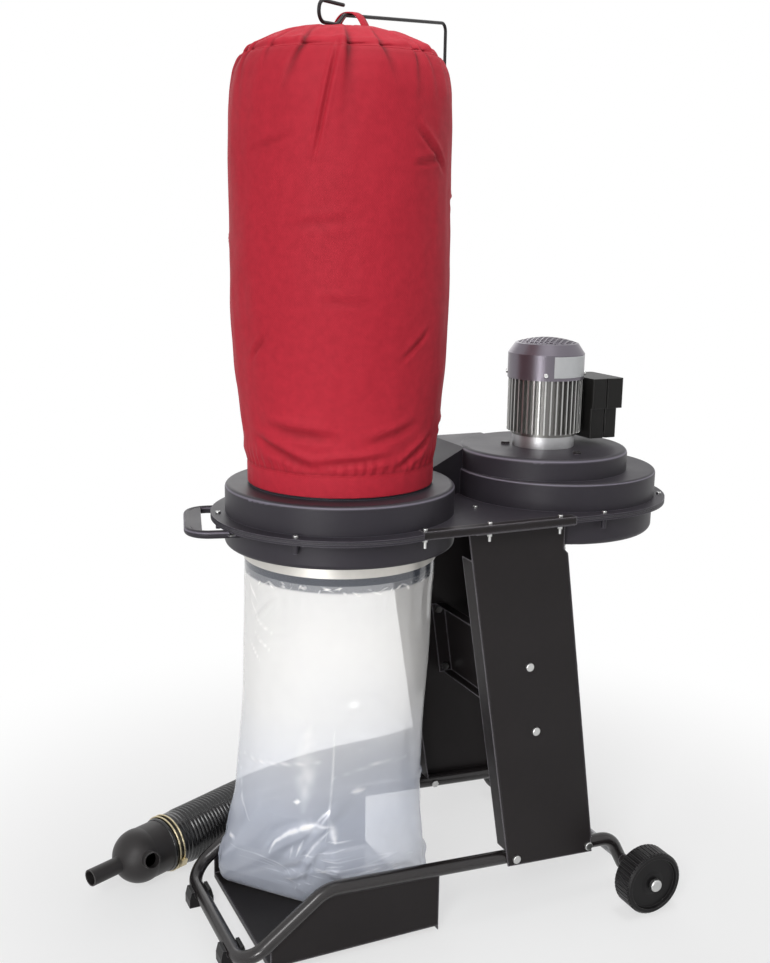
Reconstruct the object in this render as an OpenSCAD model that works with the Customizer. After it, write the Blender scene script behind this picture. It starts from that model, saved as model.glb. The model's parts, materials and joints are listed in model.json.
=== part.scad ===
// Workshop dust collector. A motor-driven fan blows into a drum that carries a cloth filter bag
// above and a film dust bag below, on sheet-steel legs and a wheeled tube frame.
// Millimetres. +Z is up and Z = 0 is the floor. X runs along the machine, with the drum at -X and
// the fan at +X, and Y runs across it.

/* [Housing] */
// X of the drum's axis
drum_x = -185.4; // [-196:0.2:-175]
// Distance from the drum's axis to the fan's axis
fan_gap = 412; // [408:1:420]
// How far the scroll's centre lies outside the fan's axis
scroll_shift = 28; // [24:1:30]
// Height of the joint between the two half shells
deck_z = 757; // [752:1:762]
// Radius of the drum's wall
drum_r = 200; // [196:1:203]
// How far the drum's flange stands out
drum_lip = 25; // [23:1:28]
// Height of the drum above the joint
drum_up = 55; // [50:1:60]
// Depth of the drum below the joint
drum_down = 50; // [46:1:54]
// Radius of the fan's scroll
scroll_r = 188; // [184:1:190]
// How far the scroll's flange stands out
scroll_lip = 20; // [19:1:22]
// Depth of the scroll below the joint
scroll_down = 57; // [55:1:60]
// Radius of the raised cap under the motor
cap_r = 157; // [152:1:160]
// Height of the raised cap
cap_up = 39; // [36:1:42]
// Wall of the shells
wall = 3; // [2.5:0.1:3.4]
// Thickness of each flange
flange_t = 5; // [4:0.5:6]
// Thickness of the foam seal in the joint
seal_t = 1.5; // [1:0.1:2]
// Near side of the duct between fan and drum
duct_y = 30; // [24:1:40]
// Width of the duct
duct_w = 136; // [126:1:138]

/* [Bags] */
// Radius of the collar that carries the filter bag
filter_collar_r = 157.5; // [150:0.5:162]
// Height of that collar
filter_collar_h = 26; // [22:1:30]
// Widest radius of the filter bag
filter_r = 184; // [180:1:190]
// Height of the filter bag
filter_h = 738; // [700:1:742]
// Thickness of the filter cloth
cloth_t = 2.4; // [1.6:0.1:3]
// Radius of the collar that carries the dust bag
dust_collar_r = 166; // [160:0.5:172]
// Height of that collar
dust_collar_h = 37; // [33:1:41]
// Thickness of the bag film
film_t = 1.6; // [1.2:0.1:2]
// Thickness of the band round the dust bag
band_t = 1.2; // [1:0.1:2]
// Width of that band
band_w = 20; // [18:1:22]

/* [Legs and rails] */
// Distance from the middle plane to a leg's outer face
leg_y = 178; // [177:0.5:180]
// Sheet thickness of the legs, the brace and the rails
sheet_t = 2; // [1.5:0.1:2.5]
// Depth of a leg's folded edges
leg_fold = 36; // [30:1:40]
// Left edge of a leg at its top, from the drum's axis
leg_top_l = 159; // [156:1:164]
// Right edge of a leg at its top
leg_top_r = 352; // [349:1:358]
// Left edge of a leg at its foot
leg_foot_l = 264; // [258:1:270]
// Right edge of a leg at its foot
leg_foot_r = 448; // [446:1:456]
// Left end of the deck rails, from the drum's axis
rail_l = 58; // [56:1:60]
// Length of the deck rails
rail_len = 296; // [290:1:304]
// Width of a rail's leaves
rail_leaf = 15; // [13:1:15]

/* [Base] */
// Outside radius of the frame tube
tube_r = 12.5; // [11:0.5:13]
// Wall of the frame tube
tube_t = 1.5; // [1.2:0.1:2]
// X of the floor bar, from the drum's axis
bar_x = -238.5; // [-246:0.5:-232]
// Height of the floor bar's axis
bar_z = 25; // [22:0.5:28]
// X of the frame's knee, from the drum's axis
knee_x = -88; // [-94:1:-80]
// Height of the knee
knee_z = 136; // [132:1:140]
// Radius of the wheels
wheel_r = 60; // [57:0.5:63]
// Width of the wheels
wheel_w = 45; // [40:1:48]
// X of the axle, from the drum's axis
axle_x = 524; // [516:1:530]
// Radius of the axle
axle_r = 8; // [6:0.5:9]
// Length of a spacer between the frame and a wheel
spacer_len = 52.4; // [48:0.2:58]
// Left end of the tray, from the drum's axis
tray_l = -190; // [-196:1:-186]
// Right end of the tray
tray_r = 130; // [120:1:140]
// Height of the tray's floor
tray_z = 12; // [11:1:13]

/* [Motor] */
// Radius of the motor's body under the fins
motor_r = 60; // [58:0.5:61]
// How far the fins stand out
fin_h = 8.5; // [7:0.5:8.8]
// Number of fins round the motor
fin_count = 40; // [32:1:44]
// Height of the finned body
motor_h = 112; // [108:1:114]
// Height of the end shield at the drive end
shield_h = 22; // [20:1:24]
// Radius of the fan cowl
cowl_r = 70.5; // [70:0.5:71.5]
// Height of the fan cowl
cowl_h = 74; // [72:1:77]
// Radius of the motor shaft
shaft_r = 7.5; // [6:0.5:8]
// Radius of the impeller
impeller_r = 138; // [120:1:140]
// Height of the impeller's blades
blade_h = 78; // [60:1:80]
// Number of impeller blades
blade_count = 8; // [6:1:10]
// Depth of the switch box across the machine
box_w = 106; // [100:1:110]
// Height of the switch box
box_h = 112; // [108:1:114]
// Travel of a switch button
button_travel = 3; // [2:0.5:4]

/* [Hose] */
// Radius over the hose's ribs
rib_r = 55; // [54:0.5:56]
// Radius in the hose's valleys
valley_r = 52; // [51.5:0.5:53]
// Radius of the hose's bore
bore_r = 49.5; // [49:0.5:50]
// Number of ribs
ribs = 150; // [120:1:160]
// Outside radius of the ball adapter
ball_r = 51.5; // [50:0.5:53]
// Outside radius of the tool pipe
pipe_r = 16; // [15:0.5:18]
// Bore of the tool socket
socket_bore_r = 14; // [13:0.5:15]

/* [Hidden] */
$fn = 48;
// Extra length of a cutting tool past the face that it cuts
cut = 2;
// Gap left between pieces that lie on each other
seat = 0.3;
// Radial clearance of a turning shaft or wheel
run = 0.06;
// Radial clearance of a fixed screw or pin in its hole
loose = 0.2;
// How much a bar thins in a bend, and the angle by which a bend reaches into the straight run
bend_thin = 0.05;
bend_lap = 1;
fan_x = drum_x + fan_gap;
scroll_x = fan_x + scroll_shift;
flange_top = deck_z + flange_t;
flange_bottom = deck_z - flange_t;
drum_top = deck_z + drum_up;
drum_bottom = deck_z - drum_down;
scroll_bottom = deck_z - scroll_down;
cap_top = drum_top + cap_up;
cap_plate = 2 * wall;
deck_half = scroll_r + scroll_lip;
duct_l = drum_x + 100;
duct_r = fan_x - 40;
duct_top = cap_top - 2;
duct_bottom = drum_bottom;
ramp_l = drum_x + 188;
ramp_r = drum_x + 262;

// Flange screws
screw_r = 2.5;
boss_r = 4.5;
boss_h = 17;
drum_screws = [84, 120, 168, 228];
fan_screws = [-96, -32, 32, 96];
drum_screw_ring = drum_r + drum_lip / 2;
fan_screw_ring = scroll_r + scroll_lip / 2;
deck_screw = [drum_x + 226, -80];
rail_screw_y = deck_half - rail_leaf / 2;
rail_screw_x = [rail_l + 8, leg_top_l + 28, leg_top_r - 26];
flange_screws = concat(
    [for (a = drum_screws) [drum_x, 0] + drum_screw_ring * [cos(a), sin(a)]],
    [for (a = fan_screws) [scroll_x, 0] + fan_screw_ring * [cos(a), sin(a)]],
    [deck_screw]);
rail_screws = [for (x = rail_screw_x, s = [-1, 1]) [drum_x + x, s * rail_screw_y]];

// Legs, brace and rails
rail_bottom = flange_bottom - sheet_t;
leg_top = rail_bottom;
leg_in = leg_y - sheet_t;
fold_top = scroll_bottom - 5;
notch_z = scroll_bottom - 10;
notch_w = 9;
m8_r = 4;
brace_bolts = [[291, 488], [310, 363]];
brace_top = 500;
brace_bottom = 350;
brace_web_top = 305;
brace_web_bottom = 327;
brace_flange = 28;

// Base frame
arm_y = leg_in - tube_r;
arm_end_x = axle_x - 24;
arm_end_z = 105;
axle_z = wheel_r;
track = arm_y + tube_r + 2 * seat + spacer_len + wheel_w;
tail = 18;
arm_slope = (arm_end_z - knee_z) / (arm_end_x - knee_x);
arm_bolts = [leg_foot_l + 17, leg_foot_r - 9];
foot_y = 98;
foot_len = 30;
foot_w = 46;
foot_top_w = 38;
foot_h = bar_z + 6;
tray_t = 1.5;
tray_lip = 8;
hub_r = 18;
treads = 44;
cap_skirt = 4;

// Hanger
rod_r = 3;
rod_x = 298;
rod_z = 1577;
rod_rise = 43;
hook_r = 15;
socket_w = 24;
socket_d = 16;
socket_h = 40;
rod_y = deck_half + sheet_t + seat + socket_d / 2;
strap_w = 26;
strap_t = 3;
filter_z = drum_top + 4;
filter_top = filter_z + filter_h;

// Dust bag and its band
film_seat = dust_collar_r / cos(180 / 36) + seat;
neck_r = film_seat + film_t;
band_r = neck_r + seat;
band_z = drum_bottom - seat * 10 - band_w;
latch_x = -30;
latch_pin_r = 2.5;
latch_hub_r = 4.5;
lever_len = 58;
lever_t = 2.5;
ear_t = 4;
latch_y = band_r + band_t + latch_hub_r + 1;

// Motor stack
motor_z = cap_top + shield_h;
motor_top = motor_z + motor_h;
cowl_z = motor_top - 7;
cowl_top = cowl_z + cowl_h;
cowl_t = 1.5;
bearing_r = 17.5;
bearing_h = 11;
motor_plate_t = 4;
motor_plate_r = 125;
motor_bolts = [[155, 70], [-87, 107], [35, 107]];
stator_r = motor_r - 4;
rotor_r = 36;
air_gap = 0.6;
core_z = motor_z + 22;
core_h = 70;
nde_z = motor_top;
nde_t = 6;
fan_hub_z = nde_z + 19;
fan_hub_h = 16;
shaft_z = deck_z - 19;
shaft_top = fan_hub_z + fan_hub_h + 1;
impeller_plate_z = drum_top - 12;
hub_h = 34;
nut_h = 8;
cowl_screws = [-122, -32, 58, 148];

// Switch box, measured from the fan's axis
box_l = cowl_r + 1.5;
box_seam = box_l + 32;
box_r = box_seam + 36;
box_step = 9;
box_z = cap_top + 14;
box_step_z = box_z + box_h / 2;
box_top = box_z + box_h;
box_wall = 2.5;
box_round = 5;
button_w = 20;
button_gap = 26;
button_z = box_top - 30;
button_proud = 4;
bezel_t = 3;

// Hose and adapter
hose_sides = 8;
// Points that the hose runs through, with X from the fan's axis
hose_points = [
    [0, 0, 690], [0, 0, 622], [4, 3, 554], [23, 15, 489], [52, 36, 431], [86, 69, 382],
    [118, 113, 341], [139, 165, 302], [146, 220, 262], [136, 273, 220], [110, 319, 178],
    [71, 355, 137], [19, 380, 100], [-41, 394, 73], [-108, 400, 59], [-176, 399, 56],
    [-244, 393, 56], [-312, 383, 56], [-378, 367, 56], [-443, 346, 56], [-506, 319, 56],
    [-568, 289, 56], [-629, 260, 56], [-692, 232, 56]];
hose_route = [for (p = hose_points) p + [fan_x, 0, 0]];
// Rings at each end that stay plain under the clamp
hose_cuff = 9;
inlet_r = bore_r * cos(180 / hose_sides) - seat;
inlet_len = 60;
collar_len = 18;
spigot_len = 46;
ball_cut = 30;
hose_end = hose_route[len(hose_route) - 1];
hose_axis = unit(hose_route[len(hose_route) - 2] - hose_end);
ball_centre = hose_end - (ball_cut + collar_len) * hose_axis;
pipe_len = 112;
stub_len = 64;
stub_turn = [0, 74, -79.5];
clamp_r = valley_r + seat;
wire_r = 1.6;

function unit(v) = v / norm(v);
function arm_z(x) = knee_z + (x - knee_x) * arm_slope;
function leg_left(z) = leg_top_l + (leg_top - z) * (leg_foot_l - leg_top_l) / (leg_top - arm_z(leg_foot_l));
function leg_right(z) = leg_top_r + notch_w
    + (notch_z - z) * (leg_foot_r - leg_top_r - notch_w) / (notch_z - arm_z(leg_foot_r));
function brace_x(z) = brace_web_top
    + (brace_top - z) * (brace_web_bottom - brace_web_top) / (brace_top - brace_bottom);

// A frame with its own X, Y and Z directions at a point
module posed(x, y, z, at)
    multmatrix([
        [x[0], y[0], z[0], at[0]],
        [x[1], y[1], z[1], at[1]],
        [x[2], y[2], z[2], at[2]],
        [0, 0, 0, 1]]) children();

// A frame whose Z points along a direction
module along(at, axis) {
    side = abs(axis[2]) > 0.9 ? [1, 0, 0] : [0, 0, 1];
    x = unit(cross(side, axis));
    posed(x, cross(axis, x), axis, at) children();
}

// A bend in a bar, which starts a little inside the straight run before it and is a little thinner
module bar_bend(radius, turn, r)
    rotate([0, 0, -bend_lap]) rotate_extrude(angle = turn + 2 * bend_lap)
        translate([radius, 0]) circle(r = r - bend_thin);

// A round bar along straight runs, with a true bend at each inner point
module bent_bar(points, bends, r, past = 0) {
    last = len(points) - 1;
    dirs = [for (i = [0:last - 1]) unit(points[i + 1] - points[i])];
    turns = [for (i = [1:last - 1]) acos(dirs[i - 1] * dirs[i])];
    setback = concat([-past], [for (i = [1:last - 1]) bends[i - 1] * tan(turns[i - 1] / 2)], [-past]);
    for (i = [0:last - 1]) {
        start = points[i] + dirs[i] * setback[i];
        stop = points[i + 1] - dirs[i] * setback[i + 1];
        along(start, dirs[i]) cylinder(r = r, h = norm(stop - start));
    }
    for (i = [1:last - 1]) {
        inward = unit(dirs[i] - dirs[i - 1] * (dirs[i - 1] * dirs[i]));
        centre = points[i] - dirs[i - 1] * setback[i] + inward * bends[i - 1];
        posed(-inward, dirs[i - 1], cross(-inward, dirs[i - 1]), centre)
            bar_bend(bends[i - 1], turns[i - 1], r);
    }
}

// A round block with a rounded top edge
module puck(r, h, round)
    rotate_extrude() {
        square([r - round, h]);
        square([r, h - round]);
        translate([r - round, h - round]) circle(r = round);
    }

// A rectangle with round corners, centred
module round_rect(w, d, r) {
    square([w - 2 * r, d], center = true);
    square([w, d - 2 * r], center = true);
    for (x = [-1, 1], y = [-1, 1]) translate([x * (w / 2 - r), y * (d / 2 - r)]) circle(r = r);
}

// A shape drawn in X and Z, t thick from y on
module upright(y, t) translate([0, y + t, 0]) rotate([90, 0, 0]) linear_extrude(t) children();

// A shape drawn in Y and Z, t long from x on
module lengthwise(x, t) translate([x, 0, 0]) rotate([90, 0, 90]) linear_extrude(t) children();

// A shape on the drum's axis
module at_drum() translate([drum_x, 0, 0]) children();

// A shape on the fan's axis
module at_fan(z = 0) translate([fan_x, 0, z]) children();

// A cylinder across the machine, centred on the middle plane
module crossbar(x, z, r, half) translate([x, half, z]) rotate([90, 0, 0]) cylinder(r = r, h = 2 * half);

module flange_outline() {
    difference() {
        translate([drum_x, 0]) circle(r = drum_r + drum_lip);
        for (side = [-1, 1]) translate([drum_x + rail_l - 1, side * (deck_half + drum_lip) - drum_lip])
            square([drum_r, 2 * drum_lip]);
    }
    translate([scroll_x, 0]) circle(r = scroll_r + scroll_lip);
    translate([drum_x, -deck_half]) square([scroll_x - drum_x, 2 * deck_half]);
}

module chamber_outline() {
    translate([drum_x, 0]) circle(r = drum_r - wall);
    translate([scroll_x, 0]) circle(r = scroll_r - wall);
    translate([duct_l, duct_y + wall]) square([duct_r - duct_l, duct_w - 2 * wall]);
}

module flange_holes(z, h, r) {
    for (p = concat(flange_screws, rail_screws)) translate([p[0], p[1], z]) cylinder(r = r, h = h);
}

module duct_side(inset) {
    polygon([
        [duct_l, deck_z - inset * cut], [duct_r - inset, deck_z - inset * cut],
        [duct_r - inset, duct_top - inset], [ramp_r, duct_top - inset],
        [ramp_l, drum_top - 1 - inset], [duct_l, drum_top - 1 - inset]]);
}

module upper_shell() {
    color("#2b2729") difference() {
        union() {
            translate([0, 0, deck_z + seal_t / 2]) linear_extrude(flange_t - seal_t / 2) flange_outline();
            translate([drum_x, 0, deck_z + seal_t / 2]) puck(drum_r, drum_up - seal_t / 2, 8);
            translate([drum_x, 0, drum_top - wall])
                cylinder(r = filter_collar_r, h = filter_collar_h + wall);
            translate([scroll_x, 0, deck_z + seal_t / 2]) puck(scroll_r, drum_up - seal_t / 2, 6);
            at_fan(drum_top - wall) puck(cap_r, cap_up + wall, 9);
            difference() {
                upright(duct_y, duct_w) duct_side(0);
                translate([duct_l - cut, 0, deck_z - cut])
                    cube([duct_r - duct_l + 2 * cut, deck_half, cut + seal_t / 2]);
            }
        }
        translate([drum_x, 0, deck_z - cut]) cylinder(r = drum_r - wall, h = drum_up - wall + cut);
        translate([drum_x, 0, deck_z]) cylinder(r = filter_collar_r - wall, h = drum_up + filter_collar_h + cut);
        translate([scroll_x, 0, deck_z - cut]) cylinder(r = scroll_r - wall, h = drum_up - wall + cut);
        at_fan(deck_z) cylinder(r = cap_r - wall, h = drum_up + cap_up - cap_plate);
        upright(duct_y + wall, duct_w - 2 * wall) duct_side(wall);
        at_fan(cap_top - cap_plate - cut) cylinder(r = shaft_r + 5, h = cap_plate + 2 * cut);
        motor_bolt_holes(cap_top - cap_plate - cut, cap_plate + 2 * cut);
        flange_holes(deck_z - cut, flange_t + 2 * cut, screw_r + loose);
    }
}

module lower_shell() {
    color("#2b2729") difference() {
        union() {
            translate([0, 0, flange_bottom]) linear_extrude(flange_t - seal_t / 2) flange_outline();
            translate([drum_x, 0, deck_z - seal_t / 2]) mirror([0, 0, 1])
                puck(drum_r + 1, drum_down - seal_t / 2, 7);
            translate([drum_x, 0, drum_bottom - dust_collar_h])
                cylinder(r = dust_collar_r, h = dust_collar_h + wall);
            translate([scroll_x, 0, deck_z - seal_t / 2]) mirror([0, 0, 1])
                puck(scroll_r - 3, scroll_down - seal_t / 2, 12);
            translate([duct_l, duct_y, duct_bottom])
                cube([duct_r - duct_l, duct_w, deck_z - seal_t / 2 - duct_bottom]);
            at_fan(scroll_bottom - inlet_len) cylinder(r = inlet_r, h = inlet_len + wall);
            for (p = flange_screws) translate([p[0], p[1], flange_bottom - boss_h])
                cylinder(r = boss_r, h = boss_h + 1);
        }
        translate([drum_x, 0, drum_bottom + wall]) cylinder(r = drum_r - wall, h = drum_down + cut);
        translate([drum_x, 0, drum_bottom - dust_collar_h - cut])
            cylinder(r = dust_collar_r - wall, h = dust_collar_h + drum_down);
        translate([scroll_x, 0, deck_z + cut]) mirror([0, 0, 1])
            puck(scroll_r - 3 - wall, scroll_down - wall + cut, 12 - wall);
        translate([duct_l - cut, duct_y + wall, duct_bottom + wall])
            cube([duct_r - wall - duct_l + cut, duct_w - 2 * wall, drum_down + scroll_down]);
        at_fan(scroll_bottom - inlet_len - cut)
            cylinder(r = inlet_r - wall, h = inlet_len + scroll_down);
        flange_holes(flange_bottom - boss_h - cut, boss_h + flange_t + 2 * cut, screw_r + loose);
    }
}

module shell_seal() {
    color("#161616") translate([0, 0, deck_z - seal_t / 2]) difference() {
        linear_extrude(seal_t) difference() {
            flange_outline();
            chamber_outline();
        }
        flange_holes(-cut, seal_t + 2 * cut, screw_r + loose);
    }
}

// A screw with a pan head on top of z and its end at z_end
module pan_screw(z, z_end, r, head_r, head_h) {
    translate([0, 0, z]) puck(head_r, head_h, head_h / 3);
    translate([0, 0, z_end]) cylinder(r = r, h = z - z_end);
}

module housing_screws() {
    color("silver") {
        for (p = flange_screws) translate([p[0], p[1], 0])
            pan_screw(flange_top, flange_bottom - boss_h + 2, screw_r, 4.5, 3.5);
        for (p = rail_screws) translate([p[0], p[1], 0]) {
            under = abs(p[0] - drum_x - rail_screw_x[0]) < 1 ? rail_bottom : rail_bottom - sheet_t;
            pan_screw(flange_top + sheet_t, rail_bottom - 16, screw_r, 4.5, 3.5);
            translate([0, 0, under - 5]) difference() {
                cylinder(r = 4.6, h = 5, $fn = 6);
                translate([0, 0, -cut]) cylinder(r = screw_r + 0.01, h = 5 + 2 * cut);
            }
        }
    }
}

module deck_rail() {
    difference() {
        lengthwise(drum_x + rail_l, rail_len) {
            translate([-deck_half - sheet_t - seat, rail_bottom])
                square([sheet_t, flange_top - rail_bottom + sheet_t]);
            for (z = [rail_bottom, flange_top])
                translate([-deck_half - sheet_t - seat, z]) square([rail_leaf + sheet_t + seat, sheet_t]);
        }
        flange_holes(rail_bottom - cut, flange_top - rail_bottom + sheet_t + 2 * cut, screw_r + loose);
    }
}

module front_rail() {
    color("#1c1817") deck_rail();
}

module rear_rail() {
    color("#1c1817") mirror([0, 1, 0]) deck_rail();
}

module leg_outline() {
    polygon([
        [leg_top_l, leg_top], [leg_foot_l, arm_z(leg_foot_l) - tube_r],
        [leg_foot_r, arm_z(leg_foot_r) - tube_r], [leg_top_r + notch_w, notch_z],
        [leg_top_r, notch_z + notch_w], [leg_top_r, leg_top]]);
}

module leg_folds() {
    low_l = arm_z(leg_foot_l) + tube_r + 4;
    low_r = arm_z(leg_foot_r) + tube_r + 4;
    polygon([
        [leg_left(fold_top), fold_top], [leg_left(fold_top) + sheet_t, fold_top],
        [leg_left(low_l) + sheet_t, low_l], [leg_left(low_l), low_l]]);
    polygon([
        [leg_right(notch_z), notch_z], [leg_right(notch_z) - sheet_t, notch_z],
        [leg_right(low_r) - sheet_t, low_r], [leg_right(low_r), low_r]]);
}

module leg() {
    at_drum() difference() {
        union() {
            upright(-leg_y, sheet_t) leg_outline();
            upright(-leg_y, leg_fold) leg_folds();
            translate([leg_top_l, -deck_half, leg_top - sheet_t])
                cube([leg_top_r - leg_top_l, deck_half - leg_in, sheet_t]);
        }
        for (b = brace_bolts) crossbar(b[0], b[1], m8_r + loose, leg_y + cut);
        for (x = arm_bolts) crossbar(x, arm_z(x), m8_r + loose, leg_y + cut);
        for (x = rail_screw_x) translate([x, -rail_screw_y, leg_top - sheet_t - cut])
            cylinder(r = screw_r + loose, h = sheet_t + 2 * cut);
    }
}

module front_leg() {
    color("#211f1e") leg();
}

module rear_leg() {
    color("#211f1e") mirror([0, 1, 0]) leg();
}

module cross_brace() {
    color("#211f1e") at_drum() difference() {
        union() {
            upright(-leg_in, 2 * leg_in) polygon([
                [brace_web_top, brace_top], [brace_web_top + sheet_t, brace_top],
                [brace_web_bottom + sheet_t, brace_bottom], [brace_web_bottom, brace_bottom]]);
            for (y = [-leg_in, leg_in - sheet_t]) upright(y, sheet_t) polygon([
                [brace_web_top - brace_flange, brace_top], [brace_web_top + sheet_t, brace_top],
                [brace_web_bottom + sheet_t, brace_bottom],
                [brace_web_bottom - brace_flange, brace_bottom]]);
            for (z = [brace_bottom, brace_top - sheet_t])
                translate([brace_x(z) - brace_flange * 0.7, -leg_in, z])
                    cube([brace_flange * 0.7 + sheet_t, 2 * leg_in, sheet_t]);
        }
        for (b = brace_bolts) crossbar(b[0], b[1], m8_r + loose, leg_y + cut);
    }
}

// A bolt along +Y: round head outside a leg, nut inside at the given depth
module leg_bolt(depth) {
    rotate([90, 0, 0]) puck(8, 4.5, 2);
    translate([0, depth + 6, 0]) rotate([90, 0, 0]) cylinder(r = m8_r, h = depth + 6);
    translate([0, depth + 6.5, 0]) rotate([90, 0, 0]) difference() {
        cylinder(r = 7.5, h = 6.5, $fn = 6);
        translate([0, 0, -cut]) cylinder(r = m8_r + 0.01, h = 6.5 + 2 * cut);
    }
}

module leg_bolts() {
    color("gainsboro") at_drum() for (s = [0, 1]) mirror([0, s, 0]) {
        for (b = brace_bolts) translate([b[0], -leg_y, b[1]]) leg_bolt(2 * sheet_t);
        for (x = arm_bolts) translate([x, -leg_y, arm_z(x)]) leg_bolt(sheet_t + 2 * tube_r);
    }
}

module frame_bar(r, past = 0) {
    down = unit([axle_x - arm_end_x, 0, axle_z - arm_end_z]);
    end = [axle_x, -arm_y, axle_z] + tail * down;
    half = [end, [arm_end_x, -arm_y, arm_end_z], [knee_x, -arm_y, knee_z], [bar_x, -arm_y, bar_z]];
    back = [for (i = [3:-1:0]) [half[i][0], arm_y, half[i][2]]];
    bent_bar(concat(half, back), [40, 60, 50, 50, 60, 40], r, past);
}

module base_frame() {
    color("#1a1819") at_drum() difference() {
        frame_bar(tube_r);
        frame_bar(tube_r - tube_t, cut);
        crossbar(axle_x, axle_z, axle_r + 0.05, leg_y);
        for (x = arm_bolts) crossbar(x, arm_z(x), m8_r + loose, leg_y);
    }
}

module bag_tray() {
    half = arm_y + tray_t / 2;
    color("#211f1e") at_drum() difference() {
        union() {
            translate([tray_l, -half, tray_z]) cube([tray_r - tray_l, 2 * half, tray_t]);
            for (x = [tray_l, tray_r - tray_t])
                translate([x, -half, tray_z - tray_lip]) cube([tray_t, 2 * half, tray_lip + tray_t]);
            for (y = [-half, half - tray_t]) upright(y, tray_t) polygon([
                [tray_l, tray_z], [tray_r, tray_z], [tray_r, arm_z(tray_r)], [knee_x, knee_z],
                [tray_l, bar_z + (tray_l - bar_x) * (knee_z - bar_z) / (knee_x - bar_x)]]);
        }
        frame_bar(tube_r + seat);
    }
}

module feet() {
    color("#141414") at_drum() for (s = [-1, 1]) upright(s * foot_y - foot_len / 2, foot_len)
        difference() {
            polygon([
                [bar_x - foot_w / 2, 0], [bar_x + foot_w / 2, 0], [bar_x + foot_w / 2, foot_h / 2],
                [bar_x + foot_top_w / 2, foot_h], [bar_x - foot_top_w / 2, foot_h],
                [bar_x - foot_w / 2, foot_h / 2]]);
            translate([bar_x, bar_z]) circle(r = tube_r + seat);
            translate([bar_x - tube_r - seat, bar_z]) square([2 * (tube_r + seat), foot_h]);
        }
}

module axle() {
    color("#2a2a2a") at_drum() crossbar(axle_x, axle_z, axle_r, track + 1);
}

module axle_spacers() {
    reach = spacer_len;
    color("#2a2a2a") at_drum() for (s = [0, 1]) mirror([0, s, 0])
        translate([axle_x, arm_y + tube_r + seat, axle_z]) rotate([-90, 0, 0]) difference() {
            cylinder(r = axle_r + 3, h = reach);
            translate([0, 0, -cut]) cylinder(r = axle_r + run, h = reach + 2 * cut);
        }
}

module axle_caps() {
    color("silver") at_drum() for (s = [0, 1]) mirror([0, s, 0])
        translate([axle_x, track + seat, axle_z]) rotate([-90, 0, 0]) difference() {
            puck(axle_r + 4, 8, 4);
            translate([0, 0, -cut]) cylinder(r = axle_r + 0.02, h = cap_skirt + cut);
        }
}

module wheel() {
    at_drum() translate([axle_x, track - wheel_w, axle_z]) rotate([-90, 0, 0]) difference() {
        rotate_extrude() polygon([
            [axle_r + run, 0], [hub_r, 0], [hub_r, 8], [wheel_r - 13, 8], [wheel_r - 11, 0],
            [wheel_r - 4, 0], [wheel_r, 4], [wheel_r, wheel_w - 4], [wheel_r - 4, wheel_w],
            [wheel_r - 10, wheel_w], [wheel_r - 12, wheel_w - 6], [hub_r + 6, wheel_w - 6],
            [hub_r, wheel_w - 4], [axle_r + run, wheel_w - 4]]);
        for (i = [1:treads]) rotate([0, 0, i * 360 / treads])
            translate([wheel_r - 2, -1.5, -cut]) cube([4, 3, wheel_w + 2 * cut]);
    }
}

module front_wheel() {
    color("#171717") mirror([0, 1, 0]) wheel();
}

module rear_wheel() {
    color("#171717") wheel();
}

// Handle, drawn along its own outward direction
handle_turn = 165;
handle_r = 7;
handle_half = 90;
handle_out = 264;
handle_z = flange_bottom - handle_r - seat;
grip_w = 30;

module carry_handle() {
    color("#2b2729") difference() {
        translate([drum_x, 0, handle_z]) rotate([0, 0, handle_turn]) {
            bent_bar([
                [drum_r - 40, -handle_half, 0], [handle_out, -handle_half, 0],
                [handle_out, handle_half, 0], [drum_r - 40, handle_half, 0]], [36, 36], handle_r);
            translate([0, 0, 1 - handle_r]) linear_extrude(2 * handle_r - 2) intersection() {
                translate([handle_out + handle_r - 2 - 2 * handle_half, 0]) circle(r = 2 * handle_half);
                translate([handle_out + handle_r - grip_w, -handle_half + handle_r])
                    square([grip_w, 2 * handle_half - 2 * handle_r]);
            }
        }
        translate([drum_x, 0, drum_bottom]) cylinder(r = drum_r + 1 + seat, h = drum_down);
        handle_screw_pair(3 + loose, cut);
    }
}

module handle_screw_pair(r, past) {
    side = asin(handle_half / (drum_r + 1));
    for (s = [-1, 1]) translate([drum_x, 0, handle_z]) rotate([0, 0, handle_turn + s * side])
        translate([drum_r - wall, 0, 0]) rotate([0, 90, 0]) cylinder(r = r, h = wall + 20 + past);
}

module handle_screws() {
    color("silver") difference() {
        handle_screw_pair(3, 0);
        translate([drum_x, 0, drum_bottom]) cylinder(r = drum_r + 1 + seat, h = drum_down);
    }
}

// The cloth's outline from its hem to its gathered top, as radius and height
function filter_profile(inset) = [
    [filter_collar_r + seat + cloth_t - inset, 0], [filter_collar_r + seat + cloth_t - inset, 34],
    [filter_r - 19 - inset, 76], [filter_r - 4 - inset, 206], [filter_r - inset, 330],
    [filter_r - 1 - inset, 560], [filter_r - 6 - inset, 650], [filter_r - 20 - inset, filter_h - 38],
    [filter_r - 60 - inset, filter_h - 8 - inset / 2]];

module filter_bag() {
    inner = filter_profile(cloth_t);
    color("#a81c2b") translate([drum_x, 0, filter_z]) rotate_extrude()
        polygon(concat(
            filter_profile(0), [[0, filter_h], [0, filter_h - cloth_t]],
            [for (i = [len(inner) - 1:-1:0]) inner[i]]));
}

hanger_dir = unit([-rod_x, -rod_y, 0]);
hanger_bend = [drum_x + rod_x, rod_y, rod_z + rod_rise];
hanger_drop = [drum_x, 0, rod_z];

// A point of the hook: how far past the drum's axis, and how high over the rod's end
function hook_at(far, up) = hanger_drop + far * hanger_dir + [0, 0, up];

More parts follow.
